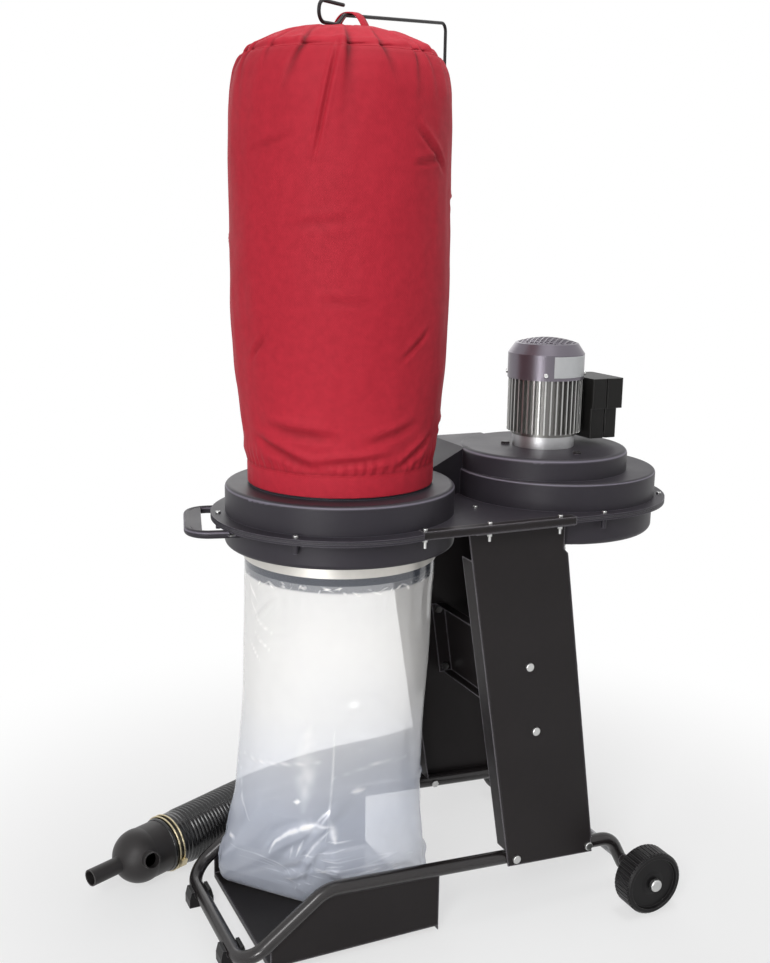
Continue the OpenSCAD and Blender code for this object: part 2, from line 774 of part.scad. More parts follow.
module hanger_rod() {
    foot = [drum_x + rod_x, rod_y, flange_bottom - 22];
    color("#161616") bent_bar(
        [foot, hanger_bend, hanger_drop, hook_at(22, -17.5), hook_at(78, -21), hook_at(74, 12), hook_at(2, 15)],
        [14, 14, 14, hook_r, hook_r], rod_r);
}

module rod_socket() {
    color("#1c1817") translate([drum_x + rod_x, rod_y, flange_bottom - 22 + cut]) difference() {
        translate([-socket_w / 2, -socket_d / 2, 0]) cube([socket_w, socket_d, socket_h]);
        translate([0, 0, -cut]) cylinder(r = rod_r + 0.1, h = socket_h + 2 * cut);
    }
}

module hanging_loop() {
    dir = unit(hanger_drop - hanger_bend);
    top = hanger_drop - 20 * dir;
    across = unit(cross([0, 0, 1], dir));
    inner = rod_r + seat;
    drop = top[2] - filter_top - cut;
    color("#a81c2b") posed(across, cross(dir, across), dir, top - strap_w / 2 * dir)
        linear_extrude(strap_w) difference() {
            union() {
                circle(r = inner + strap_t);
                translate([-inner - strap_t, -drop]) square([2 * (inner + strap_t), drop]);
            }
            circle(r = inner);
            translate([-inner, -drop - cut]) square([2 * inner, drop + cut]);
        }
}

// Cross-sections of the dust bag: height, centre X, half length, half width, squareness,
// and how far its slanting front corner stands from the drum's axis
dust_sections = [
    [band_z + band_w, 0, neck_r, neck_r, 2, 400],
    [drum_bottom - dust_collar_h - 2, 0, neck_r, neck_r, 2, 400],
    [drum_bottom - dust_collar_h - 40, -1, neck_r - 1, neck_r - 3, 2, 400],
    [440, -14, 170, 158, 2.2, 190],
    [250, -21, 172, 147, 2.6, 168],
    [150, -28, 178, arm_y - tube_r - 7, 3, 128],
    [60, -30, 170, arm_y - tube_r - 9, 3.4, 76],
    [tray_z + tray_t + 8, -30, 160, arm_y - tube_r - 14, 4, 52],
    [tray_z + tray_t + seat, -30, 148, arm_y - tube_r - 26, 4, 41]];
bag_sides = 36;
corner_dir = [0.788, 0.616];

function power(v, n) = sign(v) * pow(abs(v), 2 / n);
function bag_point(s, inset, a) = [
    s[1] + (s[2] - inset) * power(cos(a), s[4]),
    (s[3] - inset) * power(sin(a), s[4])];
function held_back(p, limit) = p + corner_dir * max(0, -limit - p * corner_dir);
function bag_ring(s, inset) = [for (i = [0:bag_sides - 1])
    let (p = held_back(bag_point(s, inset, i * 360 / bag_sides), s[5] - inset)) [drum_x + p[0], p[1], s[0]]];
function lifted(ring, dz) = [for (p = ring) p + [0, 0, dz]];
// Triangles between ring a and ring b of a tube with n sides
function band_faces(a, b, n, flip) = [for (i = [0:n - 1], k = [0, 1]) let (j = (i + 1) % n)
    let (f = k == 0 ? [a * n + i, a * n + j, b * n + j] : [a * n + i, b * n + j, b * n + i])
    flip ? [f[2], f[1], f[0]] : f];
function cap_faces(a, n, flip) = [for (i = [1:n - 2])
    flip ? [a * n, a * n + i + 1, a * n + i] : [a * n, a * n + i, a * n + i + 1]];

module dust_bag() {
    last = len(dust_sections) - 1;
    outer = [for (s = dust_sections) each bag_ring(s, 0)];
    inner = [for (i = [last:-1:0])
        each lifted(bag_ring(dust_sections[i], film_t), i == last ? film_t : 0)];
    rings = 2 * (last + 1);
    color([0.8, 0.86, 0.92, 0.5]) polyhedron(concat(outer, inner), concat(
        [for (i = [0:last - 1]) each band_faces(i, i + 1, bag_sides, false)],
        cap_faces(last, bag_sides, false),
        cap_faces(last + 1, bag_sides, true),
        [for (i = [last + 1:rings - 2]) each band_faces(i, i + 1, bag_sides, false)],
        band_faces(rings - 1, 0, bag_sides, false)));
}

module dust_bag_band() {
    color("#d8d2c4") {
        at_drum() translate([0, 0, band_z]) difference() {
            cylinder(r = band_r + band_t, h = band_w);
            translate([0, 0, -cut]) cylinder(r = band_r, h = band_w + 2 * cut);
        }
        for (z = [band_z, band_z + band_w - ear_t]) translate([drum_x + latch_x, latch_y, z]) difference() {
            union() {
                cylinder(r = latch_hub_r, h = ear_t);
                translate([-latch_hub_r, -latch_hub_r - 4.5, 0]) cube([2 * latch_hub_r, latch_hub_r + 4.5, ear_t]);
            }
            translate([-latch_x, -latch_y, -cut]) cylinder(r = band_r + band_t / 2, h = ear_t + 2 * cut);
            translate([0, 0, -cut]) cylinder(r = latch_pin_r + 0.02, h = ear_t + 2 * cut);
        }
    }
}

module latch_pin() {
    color("silver") translate([drum_x + latch_x, latch_y, band_z]) cylinder(r = latch_pin_r, h = band_w);
}

module latch_lever() {
    width = band_w - 2 * ear_t - 2 * seat;
    color("#d8d2c4") translate([drum_x + latch_x, latch_y, band_z + ear_t + seat]) difference() {
        union() {
            cylinder(r = latch_hub_r, h = width);
            linear_extrude(width) {
                translate([0, latch_hub_r - lever_t]) square([lever_len - 8, lever_t]);
                translate([lever_len - 8, latch_hub_r - lever_t]) rotate(25) square([10, lever_t]);
            }
        }
        translate([0, 0, -cut]) cylinder(r = latch_pin_r + run, h = width + 2 * cut);
    }
}

module motor_bolt_holes(z, h) {
    for (b = motor_bolts) at_fan(z) rotate([0, 0, b[0]]) translate([b[1], 0, 0]) cylinder(r = 3 + loose, h = h);
}

module motor_plate() {
    color("#3a3a3a") difference() {
        at_fan(cap_top - cap_plate - motor_plate_t - seat) cylinder(r = motor_plate_r, h = motor_plate_t);
        at_fan(cap_top - cap_plate - motor_plate_t - cut) cylinder(r = shaft_r + 5, h = motor_plate_t + 2 * cut);
        motor_bolt_holes(cap_top - cap_plate - motor_plate_t - cut, motor_plate_t + 2 * cut);
    }
}

module motor_bolts() {
    nut_z = cap_top - cap_plate - motor_plate_t - seat - 5;
    color("#1a1a1a") for (b = motor_bolts) at_fan() rotate([0, 0, b[0]]) translate([b[1], 0, 0]) {
        pan_screw(cap_top, nut_z - 2, 3, 8, 5);
        translate([0, 0, nut_z]) difference() {
            cylinder(r = 5.5, h = 5, $fn = 6);
            translate([0, 0, -cut]) cylinder(r = 3.01, h = 5 + 2 * cut);
        }
    }
}

module drive_shield() {
    floor_t = 6;
    color("#c9c9c6") at_fan(cap_top) rotate_extrude() polygon([
        [shaft_r + 2, 0], [motor_r - 2, 0], [motor_r - 2, shield_h], [motor_r - 6, shield_h],
        [motor_r - 6, floor_t], [bearing_r + 6, floor_t], [bearing_r + 6, floor_t + bearing_h + 1],
        [bearing_r + 0.02, floor_t + bearing_h + 1], [bearing_r + 0.02, floor_t], [shaft_r + 2, floor_t]]);
}

module motor_body() {
    plain = 26;
    color("#c9c9c6") at_fan(motor_z) difference() {
        union() {
            cylinder(r = motor_r, h = motor_h);
            translate([0, 0, 6]) linear_extrude(motor_h - 11) for (i = [0:fin_count - 1]) {
                turn = (i + 0.5) * 360 / fin_count;
                if (turn > plain && turn < 360 - plain)
                    rotate(turn) translate([motor_r - 2, -1.25]) square([fin_h + 2, 2.5]);
            }
        }
        translate([0, 0, -cut]) cylinder(r = stator_r, h = motor_h + 2 * cut);
    }
}

module rear_shield() {
    hub_top = bearing_h + 4;
    color("#c9c9c6") at_fan(nde_z) difference() {
        union() {
            rotate_extrude() polygon([
                [bearing_r + 0.02, 0], [motor_r + 4, 0], [motor_r + 4, nde_t], [bearing_r + 6, nde_t],
                [bearing_r + 6, hub_top], [shaft_r + 2, hub_top], [shaft_r + 2, hub_top - 2],
                [bearing_r + 0.02, hub_top - 2]]);
            intersection() {
                cylinder(r = cowl_r - cowl_t - seat, h = nde_t);
                for (a = cowl_screws) rotate([0, 0, a]) translate([motor_r, -6, 0]) cube([20, 12, nde_t]);
            }
        }
        cowl_screw_holes(nde_t / 2);
    }
}

module cowl_screw_holes(z) {
    for (a = cowl_screws) rotate([0, 0, a]) translate([motor_r + 2, 0, z]) rotate([0, 90, 0])
        cylinder(r = 2 + loose, h = 20);
}

module motor_cowl() {
    straight = cowl_h - 28;
    rim = cowl_h - 10;
    top_r = cowl_r - 12.5;
    mesh = 9;
    bar = 2.2;
    dome = [for (k = [0:6]) [top_r * (1 - k / 6), rim + 10 * (1 - pow(1 - k / 6, 2))]];
    color("#3c3a3d") at_fan(cowl_z) difference() {
        rotate_extrude() polygon(concat(
            [[cowl_r - cowl_t, 0], [cowl_r, 0], [cowl_r, straight]], dome,
            [for (k = [6:-1:0]) [dome[k][0] * (1 - cowl_t / 100), dome[k][1] - cowl_t]],
            [[cowl_r - cowl_t, straight - cowl_t / 2]]));
        translate([0, 0, rim - 3 * cowl_t]) linear_extrude(10 + 5 * cowl_t) intersection() {
            circle(r = top_r - 4);
            for (i = [-6:6], j = [-6:6]) rotate(45) translate([i * mesh, j * mesh])
                square(mesh - bar, center = true);
        }
        translate([0, 0, nde_z - cowl_z]) cowl_screw_holes(nde_t / 2);
    }
}

module cowl_screws() {
    reach = cowl_r - motor_r - 2;
    color("silver") at_fan(nde_z + nde_t / 2) for (a = cowl_screws) rotate([0, 0, a]) {
        translate([motor_r + 2, 0, 0]) rotate([0, 90, 0]) cylinder(r = 2, h = reach);
        translate([cowl_r + 0.1, 0, 0]) rotate([0, 90, 0]) puck(4.2, 2.8, 1.2);
    }
}

module stator_core() {
    color("#6f7174") at_fan(core_z) difference() {
        cylinder(r = stator_r - 0.1, h = core_h);
        translate([0, 0, -cut]) cylinder(r = rotor_r + air_gap, h = core_h + 2 * cut);
    }
}

module stator_windings() {
    turn_h = 14;
    color("#a5622b") for (z = [core_z - turn_h, core_z + core_h]) at_fan(z) difference() {
        puck(stator_r - 3, turn_h, 4);
        translate([0, 0, -cut]) cylinder(r = rotor_r + 4, h = turn_h + 2 * cut);
    }
}

module bearing() {
    difference() {
        cylinder(r = bearing_r, h = bearing_h);
        translate([0, 0, -cut]) cylinder(r = shaft_r + run, h = bearing_h + 2 * cut);
    }
}

module drive_bearing() {
    color("lightgray") at_fan(cap_top + 6) bearing();
}

module rear_bearing() {
    color("lightgray") at_fan(nde_z + 2) bearing();
}

module motor_shaft() {
    color("gray") at_fan(shaft_z) cylinder(r = shaft_r, h = shaft_top - shaft_z);
}

module rotor_core() {
    color("#8a8d90") at_fan(core_z) difference() {
        cylinder(r = rotor_r, h = core_h);
        translate([0, 0, -cut]) cylinder(r = shaft_r + 0.01, h = core_h + 2 * cut);
    }
}

module cooling_fan() {
    blades = 8;
    color("#222222") at_fan(fan_hub_z) difference() {
        union() {
            cylinder(r = shaft_r + 6, h = fan_hub_h);
            cylinder(r = motor_r - 8, h = 2);
            for (i = [1:blades]) rotate([0, 0, i * 360 / blades])
                translate([shaft_r + 3, -1.25, 0]) cube([motor_r - 8 - shaft_r, 2.5, fan_hub_h - 2]);
        }
        translate([0, 0, -cut]) cylinder(r = shaft_r + 0.01, h = fan_hub_h + 2 * cut);
    }
}

// One swept blade: a slice of a thin ring that starts at the eye and ends at the rim
module blade_curve() {
    eye = 50;
    sweep_r = 100;
    intersection() {
        difference() {
            circle(r = impeller_r - 1);
            circle(r = eye);
        }
        translate([eye - 5, sweep_r - 8]) difference() {
            circle(r = sweep_r);
            circle(r = sweep_r - 2.5);
        }
        translate([0, -impeller_r / 2]) square(2 * impeller_r);
    }
}

module impeller() {
    color("#55585c") at_fan(impeller_plate_z) difference() {
        union() {
            cylinder(r = impeller_r, h = 3);
            translate([0, 0, -hub_h]) cylinder(r = shaft_r + 12, h = hub_h);
            translate([0, 0, -blade_h]) linear_extrude(blade_h)
                for (i = [1:blade_count]) rotate(i * 360 / blade_count) blade_curve();
        }
        translate([0, 0, -hub_h - cut]) cylinder(r = shaft_r + 0.01, h = hub_h + 3 + 2 * cut);
    }
}

module impeller_nut() {
    color("silver") at_fan(impeller_plate_z - hub_h - nut_h) difference() {
        cylinder(r = 13, h = nut_h, $fn = 6);
        translate([0, 0, -cut]) cylinder(r = shaft_r + 0.01, h = nut_h + 2 * cut);
    }
}

// A box between two X values from the fan's axis, with round upright edges
module switch_block(l, r, w, z, h) {
    at_fan() translate([(l + r) / 2, 0, z]) linear_extrude(h) round_rect(r - l, w, box_round);
}

module switch_base() {
    color("#1b1b1b") difference() {
        union() {
            switch_block(box_l, box_seam, box_w, box_step_z, box_h / 2);
            switch_block(box_l, box_seam, box_w - box_step, box_z, box_h / 2 + 1);
            at_fan(box_z + 12) translate([motor_r + seat, -22, 0]) cube([box_l - motor_r, 44, box_h - 36]);
        }
        switch_block(box_l + box_wall, box_seam + 2 * box_round, box_w - box_step - 2 * box_wall,
            box_z + box_wall, box_h - 2 * box_wall);
        switch_cavity_gland();
    }
}

module switch_cover() {
    l = box_seam + 0.2;
    color("#1b1b1b") difference() {
        union() {
            switch_block(l, box_r, box_w, box_step_z, box_h / 2);
            switch_block(l, box_r - box_step, box_w - box_step, box_z, box_h / 2 + 1);
        }
        switch_block(l - 2 * box_round, box_r - box_step - box_wall, box_w - box_step - 2 * box_wall,
            box_z + box_wall, box_h - 2 * box_wall);
        for (y = [-1, 1]) at_fan(button_z)
            translate([box_r - box_step - box_wall - cut, y * button_gap / 2 - button_w / 2 - seat, -button_w / 2 - seat])
            cube([box_step + box_wall + 2 * cut, button_w + 2 * seat, button_w + 2 * seat]);
    }
}

module switch_bezel() {
    w = button_gap + button_w + 12;
    color("#2e2e30") at_fan(button_z) difference() {
        translate([box_r, 0, 0]) rotate([0, 90, 0]) linear_extrude(bezel_t) round_rect(button_w + 12, w, 4);
        for (y = [-1, 1]) translate([box_r - cut, y * button_gap / 2 - button_w / 2 - seat, -button_w / 2 - seat])
            cube([bezel_t + 2 * cut, button_w + 2 * seat, button_w + 2 * seat]);
    }
}

module push_button(side) {
    depth = box_step + bezel_t + button_proud - button_travel;
    at_fan(button_z) translate([box_r + bezel_t + button_proud - depth, side * button_gap / 2, 0])
        rotate([0, 90, 0]) linear_extrude(depth) round_rect(button_w, button_w, 2);
}

module button_on() {
    color("#1f7a3a") push_button(-1);
}

module button_off() {
    color("#b01e1e") push_button(1);
}

module capacitor() {
    color("#d9d9d4") at_fan(box_z + box_wall + seat) translate([box_seam, 0, 0]) cylinder(r = 18, h = 72);
}

module switch_cavity_gland() {
    at_fan(box_z + 22) translate([box_l + 16, box_w / 2 + cut, 0]) rotate([90, 0, 0])
        cylinder(r = 8 + loose, h = box_step + 2 * cut);
}

module cable_gland() {
    face = (box_w - box_step) / 2;
    color("#141414") at_fan(box_z + 22) translate([box_l + 16, 0, 0]) rotate([-90, 0, 0]) difference() {
        union() {
            translate([0, 0, face - box_wall - 4]) cylinder(r = 8, h = 12);
            translate([0, 0, face + 0.1]) cylinder(r = 12, h = 6, $fn = 6);
            translate([0, 0, face + 6]) cylinder(r1 = 10, r2 = 7, h = 14);
        }
        translate([0, 0, face - 20]) cylinder(r = 4.5, h = 50);
    }
}

// Points on the smooth curve through the hose's route
function route_point(i) = i < 0 ? 2 * hose_route[0] - hose_route[1]
    : i >= len(hose_route) ? 2 * hose_route[i - 1] - hose_route[i - 2] : hose_route[i];
function on_route(u) = let (
    i = min(floor(u), len(hose_route) - 2), t = u - i,
    a = route_point(i - 1), b = route_point(i), c = route_point(i + 1), d = route_point(i + 2))
    0.5 * (2 * b + (c - a) * t + (2 * a - 5 * b + 4 * c - d) * t * t + (3 * b - a - 3 * c + d) * t * t * t);
hose_rings = 2 * ribs + 1;
hose_line = [for (k = [0:hose_rings - 1]) on_route(k * (len(hose_route) - 1) / (hose_rings - 1))];
hose_dirs = [for (k = [0:hose_rings - 1])
    unit(hose_line[min(k + 1, hose_rings - 1)] - hose_line[max(k - 1, 0)])];
// A side direction that is carried along the hose without twisting
hose_up = [for (k = 0, u = [0, 1, 0]; k < hose_rings; k = k + 1,
    u = k < hose_rings ? unit(u - hose_dirs[k] * (u * hose_dirs[k])) : u) u];
function hose_ring(k, r) = let (x = hose_up[k], y = cross(hose_dirs[k], x)) [for (i = [0:hose_sides - 1])
    let (a = (i + 0.5) * 360 / hose_sides) hose_line[k] + r * (cos(a) * x + sin(a) * y)];

module suction_hose() {
    bore_step = 4;
    outer = [for (k = [0:hose_rings - 1]) let (plain = min(k, hose_rings - 1 - k) < hose_cuff)
        each hose_ring(k, k % 2 == 1 && !plain ? rib_r : valley_r)];
    inner = [for (k = [hose_rings - 1:-bore_step:0]) each hose_ring(k, bore_r)];
    rings = hose_rings + len(inner) / hose_sides;
    color("#151515") polyhedron(concat(outer, inner), concat(
        [for (i = [0:hose_rings - 2]) each band_faces(i, i + 1, hose_sides, false)],
        band_faces(hose_rings - 1, hose_rings, hose_sides, false),
        [for (i = [hose_rings:rings - 2]) each band_faces(i, i + 1, hose_sides, false)],
        band_faces(rings - 1, 0, hose_sides, false)));
}

// A clamp of two wires, closed by a screw block
module wire_clamp(r) {
    gap = 10;
    for (z = [0, gap]) translate([0, 0, z])
        rotate_extrude() translate([r + wire_r, 0]) circle(r = wire_r);
    translate([r + 0.5, -7, -wire_r]) cube([9, 14, gap + 2 * wire_r]);
}

module inlet_clamp() {
    color("#c9b98c") at_fan(scroll_bottom - 35) rotate([0, 0, 90]) wire_clamp(clamp_r);
}

module adapter_clamp() {
    color("#c9b98c") along(hose_end + 10 * hose_axis, hose_axis) rotate([0, 0, 200]) wire_clamp(clamp_r);
}

// The right half of a disc, to be turned into a ball
module half_disc(r)
    intersection() {
        circle(r = r);
        translate([0, -r]) square([r, 2 * r]);
    }

module ball_adapter() {
    neck = ball_cut + collar_len;
    color("#1f1c1c") difference() {
        union() {
            along(ball_centre, hose_axis) rotate_extrude() difference() {
                union() {
                    half_disc(ball_r);
                    square([ball_r - 1, neck - seat]);
                    square([inlet_r, neck + spigot_len]);
                    translate([0, -pipe_len]) square([pipe_r, pipe_len]);
                }
                half_disc(ball_r - wall);
                square([inlet_r - wall, neck + spigot_len + cut]);
                translate([0, -pipe_len - cut]) square([pipe_r - 2.5, pipe_len + cut]);
            }
            translate(ball_centre) rotate(stub_turn) translate([0, 0, ball_r - 2 * wall])
                cylinder(r = pipe_r, h = stub_len - ball_r + 2 * wall);
        }
        translate(ball_centre) rotate(stub_turn) cylinder(r = socket_bore_r, h = stub_len + cut);
    }
}

upper_shell();
lower_shell();
shell_seal();
housing_screws();
front_rail();
rear_rail();
front_leg();
rear_leg();
cross_brace();
leg_bolts();
base_frame();
bag_tray();
feet();
axle();
axle_spacers();
axle_caps();
front_wheel();
rear_wheel();
carry_handle();
handle_screws();
filter_bag();
hanging_loop();
hanger_rod();
rod_socket();
dust_bag();
dust_bag_band();
latch_pin();
latch_lever();
motor_plate();
motor_bolts();
drive_shield();
motor_body();
rear_shield();
motor_cowl();
cowl_screws();
stator_core();
stator_windings();
drive_bearing();
rear_bearing();
motor_shaft();
rotor_core();
cooling_fan();
impeller();
impeller_nut();
switch_base();
switch_cover();
switch_bezel();
button_on();
button_off();
capacitor();
cable_gland();
suction_hose();
inlet_clamp();
adapter_clamp();
ball_adapter();
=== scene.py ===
import json
import math

import bpy
import numpy as np
from mathutils import Matrix, Vector, noise


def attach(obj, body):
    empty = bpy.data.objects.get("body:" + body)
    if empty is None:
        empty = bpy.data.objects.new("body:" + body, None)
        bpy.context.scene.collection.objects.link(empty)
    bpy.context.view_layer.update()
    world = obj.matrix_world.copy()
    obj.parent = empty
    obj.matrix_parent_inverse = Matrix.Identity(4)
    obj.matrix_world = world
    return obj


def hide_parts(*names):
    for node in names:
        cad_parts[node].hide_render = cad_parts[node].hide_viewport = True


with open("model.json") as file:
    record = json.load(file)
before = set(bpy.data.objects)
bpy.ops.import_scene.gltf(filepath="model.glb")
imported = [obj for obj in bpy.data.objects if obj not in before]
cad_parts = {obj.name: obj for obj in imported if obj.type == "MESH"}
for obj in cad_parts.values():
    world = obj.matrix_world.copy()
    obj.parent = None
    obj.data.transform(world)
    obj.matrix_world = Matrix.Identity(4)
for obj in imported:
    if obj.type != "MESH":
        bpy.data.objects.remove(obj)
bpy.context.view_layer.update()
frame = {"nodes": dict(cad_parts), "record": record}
nodes = frame["nodes"]
scene = bpy.context.scene
scene.view_settings.view_transform = "Standard"

# Places shared with the solids, in metres
DRUM_X = -0.1854
FAN_X = DRUM_X + 0.412
FIN_ROOT_R, FIN_TIP_R = 0.0602, 0.0672
BAND_FOOT = 0.672
TRAY_TOP = 0.0143

# Camera
YAW, PITCH, ROLL = (math.radians(a) for a in (25.04, 12.12, 0.93))
EYE = Vector((DRUM_X - 0.7756, -1.8446, 1.2409))


def place_camera():
    """Stands the camera where the photograph was taken from."""
    ahead = Vector((math.sin(YAW) * math.cos(PITCH), math.cos(YAW) * math.cos(PITCH), -math.sin(PITCH)))
    level = Vector((math.cos(YAW), -math.sin(YAW), 0))
    up = level.cross(ahead)
    right = level * math.cos(ROLL) + up * math.sin(ROLL)
    up = up * math.cos(ROLL) - level * math.sin(ROLL)
    data = bpy.data.cameras.new("photo_camera")
    data.sensor_fit = "VERTICAL"
    data.sensor_height = 36
    data.lens = 43.82
    data.clip_end = 50
    camera = bpy.data.objects.new("photo_camera", data)
    camera.matrix_world = Matrix((
        (right.x, up.x, -ahead.x, EYE.x),
        (right.y, up.y, -ahead.y, EYE.y),
        (right.z, up.z, -ahead.z, EYE.z),
        (0, 0, 0, 1)))
    scene.collection.objects.link(camera)
    scene.camera = camera


place_camera()


# Nodes that the groups and materials are made of
def rgb(color):
    return (*color, 1.0)


def set_input(tree, socket, value):
    """Links a socket to another one, or gives it a plain value."""
    if isinstance(value, bpy.types.NodeSocket):
        tree.links.new(value, socket)
    else:
        socket.default_value = rgb(value) if isinstance(value, tuple) else value


def math_node(tree, operation, *values):
    """A math node whose inputs are sockets or numbers; returns its output."""
    node = tree.nodes.new("ShaderNodeMath")
    node.operation = operation
    for socket, value in zip(node.inputs, values):
        set_input(tree, socket, value)
    return node.outputs[0]


def noise_node(tree, vector, scale, detail=3.0, rough=0.5):
    """A noise texture on a vector; scale is a socket or a number."""
    node = tree.nodes.new("ShaderNodeTexNoise")
    node.inputs["Detail"].default_value = detail
    node.inputs["Roughness"].default_value = rough
    tree.links.new(vector, node.inputs["Vector"])
    set_input(tree, node.inputs["Scale"], scale)
    return node.outputs["Fac"]


def mix_node(tree, mask, first, second):
    """The first colour where the mask is 0, the second where it is 1; each is a socket or three numbers."""
    node = tree.nodes.new("ShaderNodeMix")
    node.data_type = "RGBA"
    for index, value in ((0, mask), (6, first), (7, second)):
        set_input(tree, node.inputs[index], value)
    return node.outputs[2]


def ramp_node(tree, value, low, high, start=0.0, smooth=False):
    """Goes from start to 1 while the value goes from low to high."""
    node = tree.nodes.new("ShaderNodeMapRange")
    node.interpolation_type = "SMOOTHSTEP" if smooth else "LINEAR"
    for label, number in (("From Min", low), ("From Max", high), ("To Min", start)):
        node.inputs[label].default_value = number
    tree.links.new(value, node.inputs["Value"])
    return node.outputs[0]


def vector_node(tree, operation, *vectors):
    node = tree.nodes.new("ShaderNodeVectorMath")
    node.operation = operation
    for socket, vector in zip(node.inputs, vectors):
        tree.links.new(vector, socket)
    return node.outputs["Value"]


def split_node(tree, vector):
    node = tree.nodes.new("ShaderNodeSeparateXYZ")
    tree.links.new(vector, node.inputs[0])
    return node.outputs


def object_place(tree):
    return tree.nodes.new("ShaderNodeTexCoord").outputs["Object"]


def surface_normal(tree):
    return tree.nodes.new("ShaderNodeNewGeometry").outputs["Normal"]


def kept_value(tree, name):
    """A value that a piece keeps for each of its points."""
    node = tree.nodes.new("ShaderNodeAttribute")
    node.attribute_name = name
    return node.outputs["Fac"]


def bump(tree, height, strength, distance):
    node = tree.nodes.new("ShaderNodeBump")
    node.inputs["Strength"].default_value = strength
    node.inputs["Distance"].default_value = distance
    tree.links.new(height, node.inputs["Height"])
    return node.outputs[0]


# Shared shader groups
def new_group(name, outputs, **inputs):
    """An empty shader group with its colour and number sockets, as (group, input node, output node)."""
    group = bpy.data.node_groups.new(name, "ShaderNodeTree")
    for label, value in inputs.items():
        kind = "NodeSocketColor" if isinstance(value, tuple) else "NodeSocketFloat"
        socket = group.interface.new_socket(label.replace("_", " "), in_out="INPUT", socket_type=kind)
        socket.default_value = value
    for label in outputs:
        kind = "NodeSocketColor" if label == "Color" else "NodeSocketFloat"
        group.interface.new_socket(label, in_out="OUTPUT", socket_type=kind)
    return group, group.nodes.new("NodeGroupInput"), group.nodes.new("NodeGroupOutput")


def make_tone_group():
    """Slow colour change over a surface, with a finer mottle in it."""
    group, inp, out = new_group(
        "slow_tone", ["Color"], Color=rgb((0.5, 0.5, 0.5)), Second=rgb((0.4, 0.4, 0.4)),
        Scale=6.0, Mottle_Scale=90.0)
    where = object_place(group)
    slow = noise_node(group, where, inp.outputs["Scale"], 4.0)
    fine = noise_node(group, where, inp.outputs["Mottle Scale"], 2.0)
    blend = math_node(group, "MULTIPLY_ADD", fine, 0.45, math_node(group, "MULTIPLY_ADD", slow, 1.5, -0.5))
    blend = math_node(group, "MINIMUM", math_node(group, "MAXIMUM", blend, 0.0), 1.0)
    colour = mix_node(group, blend, inp.outputs["Color"], inp.outputs["Second"])
    group.links.new(colour, out.inputs["Color"])
    return group


def make_gloss_group():
    """Roughness that wanders between two values, as handled and dusty surfaces do."""
    group, inp, out = new_group("handled_gloss", ["Roughness"], Low=0.3, High=0.5, Scale=12.0)
    cloud = noise_node(group, object_place(group), inp.outputs["Scale"], 5.0, 0.6)
    span = math_node(group, "SUBTRACT", inp.outputs["High"], inp.outputs["Low"])
    rough = math_node(group, "MULTIPLY_ADD", cloud, span, inp.outputs["Low"])
    group.links.new(rough, out.inputs["Roughness"])
    return group


def make_grain_group():
    """Height of a fine surface grain: pebbles for plastic, orange peel for paint, sand for castings."""
    group, inp, out = new_group("surface_grain", ["Height"], Scale=600.0, Wave=60.0, Wave_Amount=0.5)
    where = object_place(group)
    pebble = noise_node(group, where, inp.outputs["Scale"], 2.0)
    wave = noise_node(group, where, inp.outputs["Wave"], 2.0)
    height = math_node(group, "MULTIPLY_ADD", wave, inp.outputs["Wave Amount"], pebble)
    group.links.new(height, out.inputs["Height"])
    return group


def make_scuff_group():
    """Mask of thin scratches and rubbed spots."""
    group, inp, out = new_group("light_scuffs", ["Mask"], Scale=18.0, Amount=0.5)
    where = object_place(group)
    warp = group.nodes.new("ShaderNodeMapping")
    warp.inputs["Scale"].default_value = (1.0, 1.0, 9.0)
    warp.inputs["Rotation"].default_value = (0.4, 0.7, 0.3)
    group.links.new(where, warp.inputs["Vector"])
    lines = noise_node(group, warp.outputs[0], inp.outputs["Scale"], 6.0, 0.7)
    spots = noise_node(group, where, inp.outputs["Scale"], 3.0)
    sharp = math_node(group, "MAXIMUM", math_node(group, "MULTIPLY_ADD", lines, 9.0, -5.9), 0.0)
    rubbed = math_node(group, "MAXIMUM", math_node(group, "MULTIPLY_ADD", spots, 4.0, -2.2), 0.0)
    mask = math_node(group, "MULTIPLY", math_node(group, "MULTIPLY", sharp, rubbed), inp.outputs["Amount"])
    group.links.new(math_node(group, "MINIMUM", mask, 1.0), out.inputs["Mask"])
    return group


def make_weave_group():
    """Height and thread mask of a plain weave on the piece's own UV map, one unit to a metre."""
    group, inp, out = new_group("plain_weave", ["Height", "Mask"], Threads=900.0, Fuzz=0.3)
    uv = group.nodes.new("ShaderNodeUVMap").outputs[0]
    split = split_node(group, uv)
    turn = math_node(group, "MULTIPLY", inp.outputs["Threads"], math.pi)
    warp = math_node(group, "SINE", math_node(group, "MULTIPLY", split[0], turn))
    weft = math_node(group, "SINE", math_node(group, "MULTIPLY", split[1], turn))
    cross = math_node(group, "MULTIPLY", warp, weft)
    fuzz = noise_node(group, uv, 420.0, 3.0)
    slub = noise_node(group, uv, 70.0, 2.0)
    threads = math_node(group, "MULTIPLY", cross, 0.35)
    height = math_node(group, "MULTIPLY_ADD", fuzz, inp.outputs["Fuzz"], threads)
    group.links.new(height, out.inputs["Height"])
    mask = math_node(group, "MULTIPLY_ADD", slub, 0.6, math_node(group, "MULTIPLY_ADD", cross, 0.12, 0.18))
    group.links.new(mask, out.inputs["Mask"])
    return group


def make_edge_wear_and_highlight_group():
    """Mask of sharp outer edges, lightened partly as rubbed wear and partly as a painted highlight where the
    edges would catch the light.
    """
    group, inp, out = new_group("edge_wear", ["Mask"], Radius=0.002)
    rounded = group.nodes.new("ShaderNodeBevel")
    rounded.samples = 6
    group.links.new(inp.outputs["Radius"], rounded.inputs["Radius"])
    agree = vector_node(group, "DOT_PRODUCT", rounded.outputs[0], surface_normal(group))
    group.links.new(ramp_node(group, agree, 0.97, 0.75), out.inputs["Mask"])
    return group


